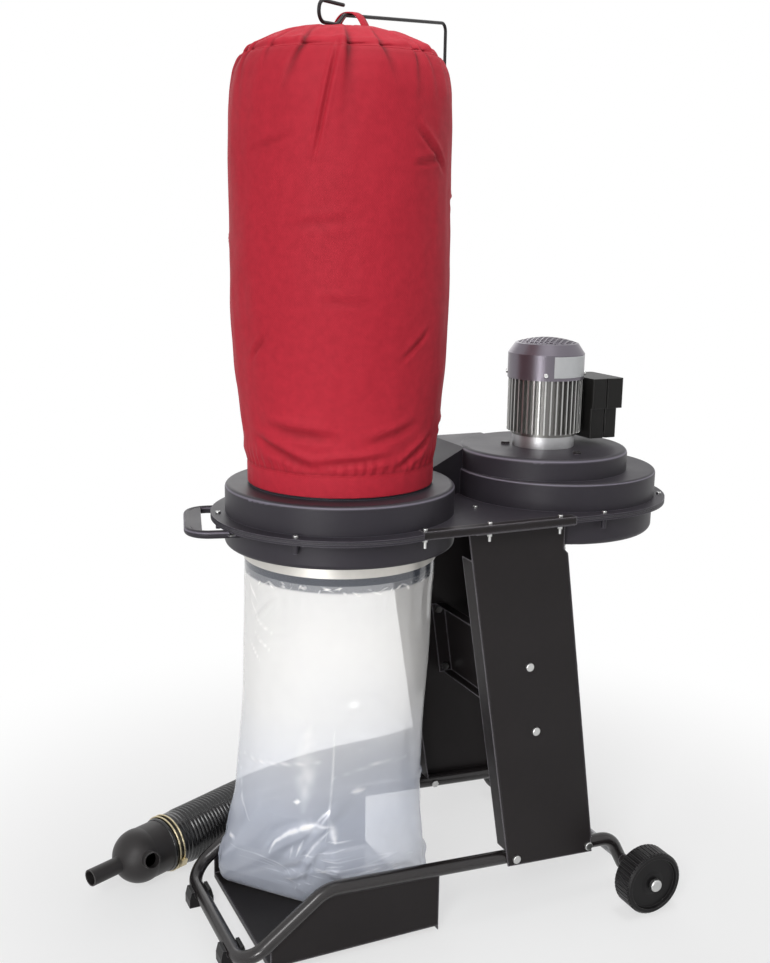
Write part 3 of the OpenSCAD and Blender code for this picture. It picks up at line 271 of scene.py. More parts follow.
def make_rim_highlight_group():
    """Mask for a painted highlight on moulded rims, where a surface turns over from an upright side to a
    level top and would catch light from above.
    """
    group, inp, out = new_group("rim_sheen", ["Mask"], Level=0.55, Width=0.25)
    rise = split_node(group, surface_normal(group))["Z"]
    off = math_node(group, "ABSOLUTE", math_node(group, "SUBTRACT", rise, inp.outputs["Level"]))
    share = math_node(group, "DIVIDE", off, inp.outputs["Width"])
    group.links.new(ramp_node(group, share, 1.0, 0.0, smooth=True), out.inputs["Mask"])
    return group


TONE = make_tone_group()
GLOSS = make_gloss_group()
GRAIN = make_grain_group()
SCUFF = make_scuff_group()
WEAVE = make_weave_group()
EDGE_WEAR_AND_HIGHLIGHT = make_edge_wear_and_highlight_group()
RIM_HIGHLIGHT = make_rim_highlight_group()


# Materials
def place_group(tree, group, **values):
    """Puts a shared group into a material with its own values; returns its outputs."""
    node = tree.nodes.new("ShaderNodeGroup")
    node.node_tree = group
    for label, value in values.items():
        set_input(tree, node.inputs[label.replace("_", " ")], value)
    return node.outputs


def new_material(name, **values):
    """A material whose shader has these plain values, as (material, tree, shader inputs)."""
    material = bpy.data.materials.new(name)
    material.use_nodes = True
    inputs = material.node_tree.nodes["Principled BSDF"].inputs
    for label, value in values.items():
        inputs[label.replace("_", " ")].default_value = value
    return material, material.node_tree, inputs


def finish(name, color, second, low, high, metal=0.0, tone=(6.0, 90.0), grain=(600.0, 60.0, 0.5),
           relief=(0.15, 0.0004), scuff=None, coat=0.0, specular=0.5, edge=None, rim_highlight=None):
    """A hard surface: slow tone, gloss and grain, and if asked for, scuffs, a painted highlight on moulded
    rims, and edges lightened partly as rubbed wear and partly as painted highlight.
    """
    material, tree, shader = new_material(
        name, Metallic=metal, Specular_IOR_Level=specular, Coat_Weight=coat, Coat_Roughness=0.25)
    colour = place_group(tree, TONE, Color=color, Second=second, Scale=tone[0], Mottle_Scale=tone[1])[0]
    if scuff:
        mask = place_group(tree, SCUFF, Scale=scuff[0], Amount=scuff[1])[0]
        colour = mix_node(tree, mask, colour, scuff[2])
    # Painted highlight on moulded rims
    if rim_highlight:
        mask = place_group(tree, RIM_HIGHLIGHT, Level=rim_highlight[0], Width=rim_highlight[1])[0]
        colour = mix_node(tree, mask, colour, rim_highlight[2])
    # Edges lightened: partly rubbed wear, partly painted highlight
    if edge:
        mask = place_group(tree, EDGE_WEAR_AND_HIGHLIGHT, Radius=edge[0])[0]
        colour = mix_node(tree, mask, colour, edge[1])
    tree.links.new(colour, shader["Base Color"])
    tree.links.new(place_group(tree, GLOSS, Low=low, High=high, Scale=12.0)[0], shader["Roughness"])
    height = place_group(tree, GRAIN, Scale=grain[0], Wave=grain[1], Wave_Amount=grain[2])[0]
    tree.links.new(bump(tree, height, *relief), shader["Normal"])
    return material


def make_cloth(name, color, second):
    """Dense woven filter cloth with a faint sheen, woven along the UV map, with painted shade darkening its
    folds.
    """
    material, tree, shader = new_material(
        name, Specular_IOR_Level=0.16, Sheen_Weight=0.03, Sheen_Roughness=0.4,
        Sheen_Tint=rgb((1.0, 0.55, 0.6)))
    weave = place_group(tree, WEAVE, Threads=520.0, Fuzz=0.8)
    colour = place_group(tree, TONE, Color=color, Second=second, Scale=5.0, Mottle_Scale=160.0)[0]
    colour = mix_node(tree, weave["Mask"], colour, tuple(c * 1.4 for c in color))
    # Painted shade: the colour is darkened to about a fifth in the folds, under the seam and just above the
    # hem
    colour = mix_node(tree, kept_value(tree, "painted_fold_shade"), colour, tuple(c * 0.22 for c in color))
    tree.links.new(colour, shader["Base Color"])
    tree.links.new(place_group(tree, GLOSS, Low=0.55, High=0.75, Scale=9.0)[0], shader["Roughness"])
    tree.links.new(bump(tree, weave["Height"], 0.35, 0.0006), shader["Normal"])
    return material


def make_film(name):
    """Clear soft film that veils what is behind it, more where it is edge-on; painted highlights on its
    creases make it whiter and more opaque, and painted shade under its band makes it darker.
    """
    material, tree, shader = new_material(name, Specular_IOR_Level=0.9)
    where = object_place(tree)
    height = split_node(tree, where)["Z"]
    crease_and_glint_mask = kept_value(tree, "crease_and_glint")
    colour = place_group(tree, TONE, Color=(0.96, 0.94, 0.91), Second=(0.92, 0.91, 0.90), Scale=4.0,
                         Mottle_Scale=30.0)[0]
    # Bluer towards the bottom, but not on the creases' painted highlights
    cool = math_node(tree, "SUBTRACT", ramp_node(tree, height, 0.44, 0.24), crease_and_glint_mask)
    colour = mix_node(tree, cool, colour, (0.78, 0.83, 0.96))
    # Painted shade and reflection: a dark, more opaque strip just below the band, standing for the drum's
    # dark underside seen in the film; the creases' painted highlights break it
    painted_band_shade = ramp_node(tree, height, BAND_FOOT - 0.017, BAND_FOOT - 0.012)
    painted_band_shade = math_node(tree, "MAXIMUM", math_node(tree, "SUBTRACT", painted_band_shade, crease_and_glint_mask), 0.0)
    tree.links.new(mix_node(tree, painted_band_shade, colour, (0.10, 0.11, 0.135)), shader["Base Color"])
    tree.links.new(place_group(tree, GLOSS, Low=0.05, High=0.22, Scale=14.0)[0], shader["Roughness"])
    edge_on = tree.nodes.new("ShaderNodeLayerWeight")
    edge_on.inputs["Blend"].default_value = 0.28
    # The edge-on film, the creases' painted highlights and the painted shade under the band all make the
    # film more opaque
    veil = math_node(tree, "MULTIPLY_ADD", noise_node(tree, where, 7.0), 0.12, 0.28)
    for cause, share in ((edge_on.outputs["Facing"], 0.36), (crease_and_glint_mask, 0.85), (painted_band_shade, 0.38)):
        veil = math_node(tree, "MULTIPLY_ADD", cause, share, veil)
    tree.links.new(math_node(tree, "MINIMUM", veil, 0.9), shader["Alpha"])
    wrinkle = place_group(tree, GRAIN, Scale=38.0, Wave=13.0, Wave_Amount=2.2)[0]
    tree.links.new(bump(tree, wrinkle, 0.05, 0.004), shader["Normal"])
    material.surface_render_method = "DITHERED"
    return material


def make_finned_metal(name):
    """Cast aluminium that is bright on the fins and darker down between them: partly dust, partly painted
    shade in the grooves.
    """
    material = finish(name, (0.52, 0.52, 0.51), (0.42, 0.42, 0.41), 0.28, 0.44, metal=0.9, **CAST_SURFACE)
    tree = material.node_tree
    base = tree.nodes["Principled BSDF"].inputs["Base Color"]
    centre = tree.nodes.new("ShaderNodeMapping")
    centre.inputs["Location"].default_value = (-FAN_X, 0, 0)
    centre.inputs["Scale"].default_value = (1, 1, 0)
    tree.links.new(object_place(tree), centre.inputs["Vector"])
    # Dust and painted shade: the colour darkens from the fin tips down to their roots
    height = ramp_node(tree, vector_node(tree, "LENGTH", centre.outputs[0]), FIN_ROOT_R, FIN_TIP_R)
    tree.links.new(mix_node(tree, height, (0.17, 0.166, 0.160), base.links[0].from_socket), base)
    return material


BLACK_PAINT = ((0.0165, 0.0142, 0.0146), (0.0220, 0.0192, 0.0196))
PAINT_SCUFF = (11.0, 0.35, (0.10, 0.095, 0.09))
PAINT_GRAIN = (420.0, 140.0, 0.8)
CAST_SURFACE = dict(tone=(20.0, 240.0), grain=(700.0, 180.0, 0.9), relief=(0.25, 0.0004))
# The edge colours below are partly rubbed wear and partly painted highlight, and the housing's rim colour is
# a painted highlight
FINISHES = {
    "housing_plastic": finish(
        "charcoal_plastic", (0.026, 0.023, 0.030), (0.036, 0.032, 0.039), 0.38, 0.54, specular=0.24,
        edge=(0.002, (0.15, 0.138, 0.165)), rim_highlight=(0.52, 0.30, (0.19, 0.175, 0.215)),
        grain=(900.0, 40.0, 0.3), relief=(0.10, 0.0003), scuff=(7.0, 0.25, (0.07, 0.064, 0.066))),
    "painted_steel": finish(
        "black_powder_coat", *BLACK_PAINT, 0.30, 0.42, specular=0.14, edge=(0.005, (0.19, 0.178, 0.195)),
        grain=PAINT_GRAIN, relief=(0.12, 0.0003), scuff=PAINT_SCUFF),
    "zinc": finish(
        "zinc_plate", (0.60, 0.60, 0.585), (0.46, 0.465, 0.465), 0.22, 0.42, metal=1.0,
        tone=(40.0, 300.0), grain=(900.0, 200.0, 0.6), relief=(0.12, 0.0002)),
    "cast_aluminium": finish(
        "cast_aluminium", (0.60, 0.60, 0.61), (0.48, 0.48, 0.49), 0.30, 0.46, metal=0.9, **CAST_SURFACE),
    "cowl_paint": finish(
        "dark_metallic_paint", (0.145, 0.131, 0.156), (0.185, 0.168, 0.196), 0.26, 0.38, metal=0.7,
        edge=(0.002, (0.20, 0.18, 0.22)), tone=(10.0, 900.0), grain=(1100.0, 120.0, 0.5),
        relief=(0.10, 0.0002)),
    "filter_cloth": make_cloth("red_filter_cloth", (0.45, 0.023, 0.040), (0.33, 0.014, 0.026)),
    "bag_film": make_film("clear_bag_film"),
    "band_steel": finish(
        "band_steel", (0.66, 0.64, 0.60), (0.54, 0.52, 0.49), 0.30, 0.48, metal=0.75,
        tone=(14.0, 120.0), grain=(800.0, 90.0, 0.5), relief=(0.10, 0.0003)),
    "wheel_plastic": finish(
        "black_tyre_plastic", (0.0085, 0.0080, 0.0083), (0.0120, 0.0112, 0.0116), 0.30, 0.48, specular=0.17,
        edge=(0.002, (0.12, 0.116, 0.12)), grain=(700.0, 120.0, 0.4), relief=(0.2, 0.0004),
        scuff=(20.0, 0.3, (0.07, 0.068, 0.066))),
    "seal_foam": finish(
        "black_foam", (0.010, 0.010, 0.010), (0.018, 0.018, 0.018), 0.7, 0.9,
        grain=(1400.0, 300.0, 0.8), relief=(0.5, 0.0006)),
    "lamination": finish("stacked_steel", (0.30, 0.31, 0.32), (0.22, 0.22, 0.23), 0.4, 0.6, metal=0.9),
    "winding": finish(
        "enamelled_copper", (0.46, 0.20, 0.07), (0.34, 0.13, 0.05), 0.25, 0.45, metal=0.9,
        grain=(500.0, 220.0, 1.2), relief=(0.5, 0.0008)),
    "bearing_steel": finish("bearing_steel", (0.62, 0.62, 0.62), (0.52, 0.52, 0.53), 0.12, 0.25, metal=1.0),
    "shaft_steel": finish(
        "turned_steel", (0.34, 0.34, 0.35), (0.26, 0.26, 0.27), 0.25, 0.42, metal=1.0,
        tone=(30.0, 400.0), grain=(1200.0, 500.0, 0.5)),
    "fan_plastic": finish("fan_plastic", (0.018, 0.018, 0.018), (0.028, 0.028, 0.028), 0.4, 0.55),
    "impeller_alloy": finish("impeller_alloy", (0.42, 0.43, 0.44), (0.32, 0.33, 0.34), 0.3, 0.5, metal=0.95),
    "switch_plastic": finish(
        "black_box_plastic", (0.0110, 0.0105, 0.0100), (0.0150, 0.0145, 0.0140), 0.32, 0.48, specular=0.16,
        edge=(0.002, (0.06, 0.06, 0.06)), grain=(1200.0, 90.0, 0.3), relief=(0.16, 0.0003)),
    "green_plastic": finish(
        "green_button", (0.020, 0.22, 0.055), (0.014, 0.17, 0.042), 0.25, 0.38, tone=(40.0, 300.0)),
    "red_plastic": finish(
        "red_button", (0.42, 0.018, 0.016), (0.33, 0.012, 0.012), 0.25, 0.38, tone=(40.0, 300.0)),
    "capacitor_can": finish("capacitor_can", (0.70, 0.70, 0.68), (0.60, 0.60, 0.58), 0.3, 0.45, metal=0.9),
    "hose_plastic": finish(
        "black_hose_plastic", (0.010, 0.010, 0.011), (0.015, 0.015, 0.016), 0.16, 0.28, coat=0.12,
        grain=(600.0, 90.0, 0.4), relief=(0.12, 0.0003)),
    "clamp_wire": finish(
        "pale_brass_wire", (0.62, 0.54, 0.36), (0.50, 0.43, 0.28), 0.22, 0.38, metal=1.0,
        tone=(30.0, 300.0)),
    "adapter_plastic": finish(
        "moulded_adapter_plastic", (0.024, 0.022, 0.022), (0.034, 0.031, 0.031), 0.34, 0.52, specular=0.3,
        edge=(0.002, (0.11, 0.105, 0.105)), grain=(800.0, 60.0, 0.4), relief=(0.2, 0.0004),
        scuff=(14.0, 0.3, (0.09, 0.08, 0.08))),
}

for part in frame["record"]["subparts"]:
    node = nodes[part["node"]]
    node.data.materials.clear()
    node.data.materials.append(FINISHES[part["material_slot"]])
nodes["motor_body"].data.materials[0] = make_finned_metal("finned_aluminium")
nodes["base_frame"].data.materials[0] = finish(
    "glossy_tube_paint", *BLACK_PAINT, 0.20, 0.30, specular=0.5, grain=PAINT_GRAIN, relief=(0.08, 0.0003),
    scuff=PAINT_SCUFF)


# Making pieces
def add_piece(name, mesh):
    """Puts a finished mesh into the scene, riding on the machine's body."""
    thing = bpy.data.objects.new(name, mesh)
    scene.collection.objects.link(thing)
    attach(thing, "machine")
    return thing


def piece(name, points, faces, slot, uv=None, smooth=True):
    """A mesh piece of this slot's finish."""
    mesh = bpy.data.meshes.new(name)
    mesh.from_pydata([tuple(map(float, p)) for p in points], [], faces)
    mesh.update()
    if smooth:
        mesh.polygons.foreach_set("use_smooth", [True] * len(mesh.polygons))
    if uv is not None:
        layer = mesh.uv_layers.new(name="weave")
        corners = np.zeros(len(mesh.loops), dtype=np.int32)
        mesh.loops.foreach_get("vertex_index", corners)
        layer.data.foreach_set("uv", np.asarray(uv, dtype=np.float32)[corners].ravel())
    mesh.materials.append(FINISHES[slot])
    return add_piece(name, mesh)


def mark_points(thing, name, values):
    """Keeps a value for each point of a piece, for its material to read."""
    mark = thing.data.attributes.new(name, "FLOAT", "POINT")
    mark.data.foreach_set("value", np.ravel(values).astype(np.float32))


def grid_faces(rows, columns, flip=False):
    """Quads of a grid whose rows close on themselves."""
    faces = []
    for i in range(rows - 1):
        for j in range(columns):
            k = (j + 1) % columns
            quad = (i * columns + j, i * columns + k, (i + 1) * columns + k, (i + 1) * columns + j)
            faces.append(quad[::-1] if flip else quad)
    return faces


def smooth_line(stops, at):
    """Smooth monotone interpolation through (place, value) stops."""
    x = np.array([s[0] for s in stops], float)
    y = np.array([s[1] for s in stops], float)
    step = np.diff(x)
    slope = np.diff(y) / step
    tangent = np.zeros(len(x))
    tangent[0], tangent[-1] = slope[0], slope[-1]
    for i in range(1, len(x) - 1):
        if slope[i - 1] * slope[i] > 0:
            tangent[i] = 2 / (1 / slope[i - 1] + 1 / slope[i])
    at = np.clip(at, x[0], x[-1])
    k = np.clip(np.searchsorted(x, at) - 1, 0, len(step) - 1)
    t = (at - x[k]) / step[k]
    return ((1 + 2 * t) * (1 - t) ** 2 * y[k] + t * (1 - t) ** 2 * step[k] * tangent[k]
            + t * t * (3 - 2 * t) * y[k + 1] + t * t * (t - 1) * step[k] * tangent[k + 1])


def wander(x, y, z, seed):
    """Seeded smooth noise about zero over arrays."""
    flat = np.stack([np.ravel(x), np.ravel(y), np.ravel(z)], 1)
    values = [noise.noise(Vector((a + seed * 17.3, b - seed * 9.1, c + seed * 4.7))) for a, b, c in flat]
    return np.array(values).reshape(np.shape(x))


def along_and_off(across, height, turn, level, lean):
    """How far points lie along a leaning line from its middle, and how far off it."""
    u, v = across - turn, height - level
    return u * math.cos(lean) + v * math.sin(lean), v * math.cos(lean) - u * math.sin(lean)


def crease(across, height, turn, level, lean, length, width, depth):
    """A pinched fold on a leaning line: across and height are distances on the cloth, in metres."""
    along, off = along_and_off(across, height, turn, level, lean)
    window = np.exp(-(along / length) ** 4)
    return depth * window * (np.exp(-(off / width) ** 2) - 0.75 * np.exp(-((off - 1.7 * width) / width) ** 2)
                             - 0.35 * np.exp(-((off + 1.9 * width) / width) ** 2))


def along_path(points, per_span):
    """Catmull-Rom points through a route, and how far along it each one lies."""
    route = np.array(points, float)
    ends = np.vstack([2 * route[0] - route[1], route, 2 * route[-1] - route[-2]])
    out = []
    for i in range(len(route) - 1):
        a, b, c, d = ends[i:i + 4]
        for t in np.arange(per_span) / per_span:
            out.append(0.5 * (2 * b + (c - a) * t + (2 * a - 5 * b + 4 * c - d) * t ** 2
                              + (3 * b - a - 3 * c + d) * t ** 3))
    out.append(route[-1])
    line = np.array(out)
    far = np.concatenate([[0], np.cumsum(np.linalg.norm(np.diff(line, axis=0), axis=1))])
    return line, far


def even_points(line, far, count):
    """So many points at even steps along a line."""
    at = np.linspace(0, far[-1], count)
    return np.stack([np.interp(at, far, line[:, k]) for k in range(3)], 1)


def carried_frames(line):
    """Two side directions at each point of a line, carried along it without twisting."""
    dirs = np.gradient(line, axis=0)
    dirs /= np.linalg.norm(dirs, axis=1)[:, None]
    side = np.array([0.0, 1.0, 0.0])
    sides = []
    for d in dirs:
        side = side - d * side.dot(d)
        side /= np.linalg.norm(side)
        sides.append(side)
    sides = np.array(sides)
    return sides, np.cross(dirs, sides)


# Suction hose: its route from under the fan, in millimetres
HOSE_MM = [
    (0, 0, 690), (0, 0, 622), (4, 3, 554), (23, 15, 489), (52, 36, 431), (86, 69, 382),
    (118, 113, 341), (139, 165, 302), (146, 220, 262), (136, 273, 220), (110, 319, 178),
    (71, 355, 137), (19, 380, 100), (-41, 394, 73), (-108, 400, 59), (-176, 399, 56),
    (-244, 393, 56), (-312, 383, 56), (-378, 367, 56), (-443, 346, 56), (-506, 319, 56),
    (-568, 289, 56), (-629, 260, 56), (-692, 232, 56)]
HOSE_ROUTE = [(FAN_X + x / 1000, y / 1000, z / 1000) for x, y, z in HOSE_MM]
RIBS = 184
HOSE_GROOVE_R, HOSE_RIB, HOSE_BORE_R = 0.0517, 0.0031, 0.0496


def make_hose():
    """Ribbed suction hose on the same route as its solid, with plain cuffs under the clamps."""
    sides, steps = 28, 6
    line, far = along_path(HOSE_ROUTE, 24)
    count = RIBS * steps + 1
    middle = even_points(line, far, count)
    u, v = carried_frames(middle)
    at = np.arange(count) / steps
    rib = np.abs(np.sin(at * math.pi)) ** 1.6
    edge = np.minimum(np.arange(count), np.arange(count)[::-1]) / steps
    cuff_ribs, blend_ribs = 5.2, 0.8
    plain = 0.4 + 0.6 * np.clip((edge - cuff_ribs) / blend_ribs, 0, 1)
    radius = HOSE_GROOVE_R + HOSE_RIB * rib * plain + 0.0003 * (1 - plain)
    turn = np.arange(sides) * 2 * math.pi / sides
    ring = u[:, None, :] * np.cos(turn)[None, :, None] + v[:, None, :] * np.sin(turn)[None, :, None]
    outer = middle[:, None, :] + ring * radius[:, None, None]
    inner_rows = list(range(count - 1, -1, -steps))
    inner = middle[inner_rows][:, None, :] + ring[inner_rows] * HOSE_BORE_R
    points = np.concatenate([outer, inner]).reshape(-1, 3)
    rows = count + len(inner_rows)
    faces = grid_faces(rows, sides)
    last = (rows - 1) * sides
    faces += [(last + j, last + (j + 1) % sides, (j + 1) % sides, j) for j in range(sides)]
    hose = piece("ribbed_hose", points, faces, "hose_plastic")
    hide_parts("suction_hose")


make_hose()

# Both bags: the front faces the camera, and distances on the cloth run from there
FACING = math.atan2(EYE.y, EYE.x - DRUM_X)


def angles_round(count, front, reach):
    """Angles round a bag, so many of them closer together within reach of its front."""
    return FACING + np.concatenate([np.linspace(-reach, reach, front, endpoint=False),
                                    np.linspace(reach, 2 * math.pi - reach, count - front, endpoint=False)])


def distance_round(theta, radius):
    return ((theta - FACING + math.pi) % (2 * math.pi) - math.pi) * radius


def wrapped(place, girth):
    """A distance to the right of the front, taken to the left where that is nearer."""
    return place if place < girth / 2 else place - girth


def each_row(values, rows):
    return np.repeat(values[None, :], rows, 0)


def each_turn(values, turns):
    return np.repeat(values[:, None], turns, 1)


# Filter bag: heights are above its hem
HEM = 0.816
SEAM = 0.697
BAG_R, BAG_GIRTH = 0.182, 1.142
TOP_R = 0.160
BAG_TURNS, BAG_LOW, BAG_SIDE, BAG_DOME = 340, 6, 214, 56
BAG_SIDE_R = [
    (0.000, 0.1606), (0.030, 0.1612), (0.037, 0.1600), (0.076, 0.1655), (0.140, 0.1735), (0.206, 0.1805),
    (0.330, 0.1842), (0.470, 0.1838), (0.560, 0.1832), (0.633, 0.1815), (0.667, 0.1765), (0.686, 0.1690),
    (SEAM, TOP_R)]
BAG_TOP_Z = [
    (0.003, 0.7385), (0.050, 0.7370), (0.103, 0.7290), (0.141, 0.7120), (0.153, 0.7030), (TOP_R, SEAM)]
LOOK_RIGHT = np.array([math.cos(YAW), -math.sin(YAW), 0.0])
# Creases in front: distance to the right, height, lean, length, width and depth
FRONT_CREASES = [
    (0.165, 1.365, -0.65, 0.045, 0.0055, 0.0042), (0.150, 1.345, 0.15, 0.030, 0.0045, 0.0030),
    (-0.022, 1.430, 1.37, 0.085, 0.0034, 0.0036), (-0.114, 1.368, 0.25, 0.040, 0.0050, 0.0026),
    (-0.143, 1.056, 0.75, 0.026, 0.0045, 0.0034), (0.132, 1.061, 0.65, 0.034, 0.0045, 0.0034),
    (-0.073, 0.920, -0.10, 0.060, 0.0085, 0.0056), (0.095, 0.918, 0.28, 0.048, 0.0075, 0.0046),
    (-0.110, 0.884, -0.32, 0.066, 0.0080, 0.0054), (0.155, 0.884, 0.50, 0.045, 0.0070, 0.0046),
    (0.030, 0.876, 0.08, 0.070, 0.0065, 0.0036), (0.012, 1.130, -0.06, 0.040, 0.0060, 0.0016),
    (-0.030, 1.250, 0.10, 0.050, 0.0070, 0.0014)]
# Pleats in front: distance to the right, depth, drop, recovery, length and lean
FRONT_PLEATS = [
    (-0.139, 0.0050, 0.006, 0.016, 0.8, 0.10), (-0.070, 0.0100, 0.007, 0.020, 1.3, -0.35),
    (0.010, 0.0115, 0.007, 0.022, 1.6, -0.10), (0.069, 0.0090, 0.007, 0.018, 1.0, 0.30),
    (0.137, 0.0100, 0.006, 0.018, 1.2, -0.15), (0.167, 0.0070, 0.006, 0.014, 0.9, 0.10),
    (0.212, 0.0070, 0.006, 0.016, 0.9, 0.00), (-0.205, 0.0065, 0.006, 0.016, 0.9, 0.10)]


def all_pleats():
    """The pleats seen in front, and seeded ones round the back."""
    pick = np.random.RandomState(11)
    pleats = list(FRONT_PLEATS)
    place = 0.255
    while place < 0.92:
        pleats.append((wrapped(place, BAG_GIRTH), pick.uniform(0.006, 0.010), 0.007,
                       pick.uniform(0.014, 0.022), pick.uniform(0.7, 1.4), pick.uniform(-0.3, 0.3)))
        place += pick.uniform(0.034, 0.075)
    return pleats


def bag_profile():
    """Radius and height of each row of the bag: the hem's turned-in edge, the side and the round top."""
    r_low = np.array([0.1586, 0.1586, 0.1586, 0.1589, 0.1596, 0.1602])
    z_low = np.array([0.020, 0.010, 0.0035, 0.0012, 0.0003, 0.0004])
    z_side = np.concatenate([np.linspace(0.0, 0.09, 70, endpoint=False),
                             np.linspace(0.09, 0.60, 90, endpoint=False),
                             np.linspace(0.60, SEAM, BAG_SIDE - 160)])
    t = np.linspace(0, 1, BAG_DOME + 1)[1:]
    r_dome = TOP_R * (1 - t) + 0.003 * t
    radius = np.concatenate([r_low, smooth_line(BAG_SIDE_R, z_side), r_dome])
    height = np.concatenate([z_low, np.maximum(z_side, 0.0012), smooth_line(BAG_TOP_Z, r_dome)])
    return radius, height


def bag_swell(across, angles, heights, on_side):
    """How far the cloth stands off its profile: slow waves, creases, and ruffles above the hem."""
    level = heights + HEM
    cos, sin = np.cos(angles), np.sin(angles)
    loose = np.clip((heights - 0.04) / 0.05, 0, 1) * np.clip((SEAM + 0.02 - heights) / 0.08, 0, 1)
    swell = 0.0030 * wander(cos * 2.2, sin * 2.2, level * 5.0, 1) * loose
    swell += 0.0011 * wander(cos * 7.0, sin * 7.0, level * 19.0, 2) * loose
    for fold in FRONT_CREASES:
        swell -= crease(across, level, *fold)
    unseen = np.random.RandomState(7)
    for _ in range(16):
        place = wrapped(unseen.uniform(0.28, 0.86), BAG_GIRTH)
        swell -= crease(across, level, place, unseen.uniform(0.87, 1.40), unseen.uniform(-0.7, 0.7),
                        unseen.uniform(0.03, 0.06), 0.0055, unseen.uniform(0.002, 0.0045))
    ruffle = np.sin(angles * 64 + 5.0 * wander(cos * 3.0, sin * 3.0, 0 * angles, 3))
    ruffle = ruffle * (0.7 + 0.6 * wander(cos * 5, sin * 5, 0 * angles, 4))
    above = np.clip((heights - 0.036) / 0.004, 0, 1) * np.exp(-((heights - 0.040) / 0.024) ** 2)
    swell += 0.0015 * ruffle * above
    bulge = 0.7 + 0.8 * wander(cos * 2.6, sin * 2.6, level * 4, 5)
    swell += 0.0042 * np.exp(-((heights - 0.058) / 0.013) ** 2) * bulge
    hem = np.clip((0.037 - heights) / 0.003, 0, 1) * on_side
    swell += 0.0006 * wander(cos * 9.0, sin * 9.0, level * 12.0, 6) * hem
    return swell


def bag_pleats(across, radii, heights, on_dome):
    """How far the pleats round the top pull the cloth in, and how much painted shade each point gets: in
    creases and pleats, under the seam and along a line above the hem.
    """
    pinch = np.zeros_like(across)
    painted_fold_shade = np.zeros_like(across)
    for turn, level, lean, length, width, depth in FRONT_CREASES:
        along, off = along_and_off(across, heights + HEM, turn, level, lean)
        painted_fold_shade += 75 * depth * np.exp(-(off / (0.8 * width)) ** 2 - (along / (0.8 * length)) ** 4)
    reach = np.where(on_dome, np.exp(-(np.clip(TOP_R - radii, 0, 1) / 0.045) ** 1.2),
                     np.exp(-np.abs(SEAM - heights) / 0.030))
    down = np.where(on_dome, 0.0, SEAM - heights)
    wide = 1 + 12 * np.clip(down, 0, 0.1)
    for place, depth, drop, recover, long, lean in all_pleats():
        off = (across - place - lean * down - np.where(on_dome, 0.3 * lean * (TOP_R - radii), 0.0)) / wide
        rise = 1 / (1 + np.exp(-np.clip(off / (0.22 * drop), -60, 60)))
        lap = rise * np.exp(-np.clip(off, 0, 1) / recover)
        lap -= 0.22 * np.exp(-((off + drop) / (1.5 * drop)) ** 2)
        held = np.clip(reach, 0, 1) ** (1 / long)
        pinch -= depth * held * lap
        behind = off - 0.3 * drop
        blur = np.where(behind > 0, 0.9 * drop, 0.4 * drop)
        painted_fold_shade += 85 * depth * held * np.exp(-(behind / blur) ** 2)
    # Painted shade under the seam all round, and a thin line of it just above the hem
    painted_fold_shade += 0.22 * np.exp(-np.abs(SEAM - 0.006 - heights) / 0.022) * np.where(on_dome, 0.3, 1.0)
    painted_fold_shade += 0.25 * np.exp(-((heights - 0.039) / 0.003) ** 2)
    painted_fold_shade *= np.where(on_dome, np.clip((radii - 0.05) / 0.08, 0, 1), 1.0)
    return pinch, np.clip(painted_fold_shade, 0, 0.85)


def make_filter_bag():
    """Blown-up cloth bag, gathered into its hem and pleated into a round top; returns its grid of points."""
    radius, height = bag_profile()
    rows, turns = len(radius), BAG_TURNS
    theta = angles_round(turns, 210, 1.3)
    radii, heights = each_turn(radius, turns), each_turn(height, turns)
    across, angles = each_row(distance_round(theta, BAG_R), rows), each_row(theta, rows)
    cos, sin = np.cos(angles), np.sin(angles)
    on_side = np.arange(rows)[:, None] >= BAG_LOW
    on_dome = np.arange(rows)[:, None] >= BAG_LOW + BAG_SIDE

    swell = bag_swell(across, angles, heights, on_side)
    pinch, painted_fold_shade = bag_pleats(across, radii, heights, on_dome)
    fade = np.where(on_dome, np.clip(radii / 0.10, 0, 1), 1.0) * np.clip((heights - 0.45) / 0.1, 0, 1)
    swell += pinch * fade
    sag = 0.0028 * wander(cos * radii * 40, sin * radii * 40, 0 * radii, 8) * np.clip(radii / 0.03, 0, 1)
    lift = np.where(on_dome, sag + 0.55 * pinch * fade, 0.0)
    lift += np.where(on_dome, 0.0024 * np.exp(-((radii - 0.151) / 0.005) ** 2), 0)
    swell -= 0.0026 * np.exp(-((heights - SEAM) / 0.0028) ** 2) * on_side

    grown = radii + np.where(on_dome, 0.5 * swell, swell) * on_side
    leaning = 0.0038 * np.clip((heights - 0.05) / 0.25, 0, 1)
    x = DRUM_X + grown * cos - leaning * LOOK_RIGHT[0]
    y = grown * sin - leaning * LOOK_RIGHT[1]
    grid = np.stack([x, y, heights + HEM + lift], 2)
    run = np.concatenate([[0], np.cumsum(np.hypot(np.diff(radius), np.diff(height)))])
    uv = np.stack([each_row((theta - FACING) * BAG_R, rows), each_turn(run, turns)], 2)
    faces = grid_faces(rows, turns)
    faces.append(tuple((rows - 1) * turns + j for j in range(turns)))
    bag = piece("cloth_filter_bag", grid.reshape(-1, 3), faces, "filter_cloth", uv=uv.reshape(-1, 2))
    mark_points(bag, "painted_fold_shade", painted_fold_shade)
    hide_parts("filter_bag")
    return grid


BAG_GRID = make_filter_bag()

# Hanging strap
ROD_TIP = np.array([DRUM_X, 0, 1.577])
ROD_BEND = np.array([DRUM_X + 0.298, 0.2183, 1.620])
ROD_DIR = (ROD_TIP - ROD_BEND) / np.linalg.norm(ROD_TIP - ROD_BEND)


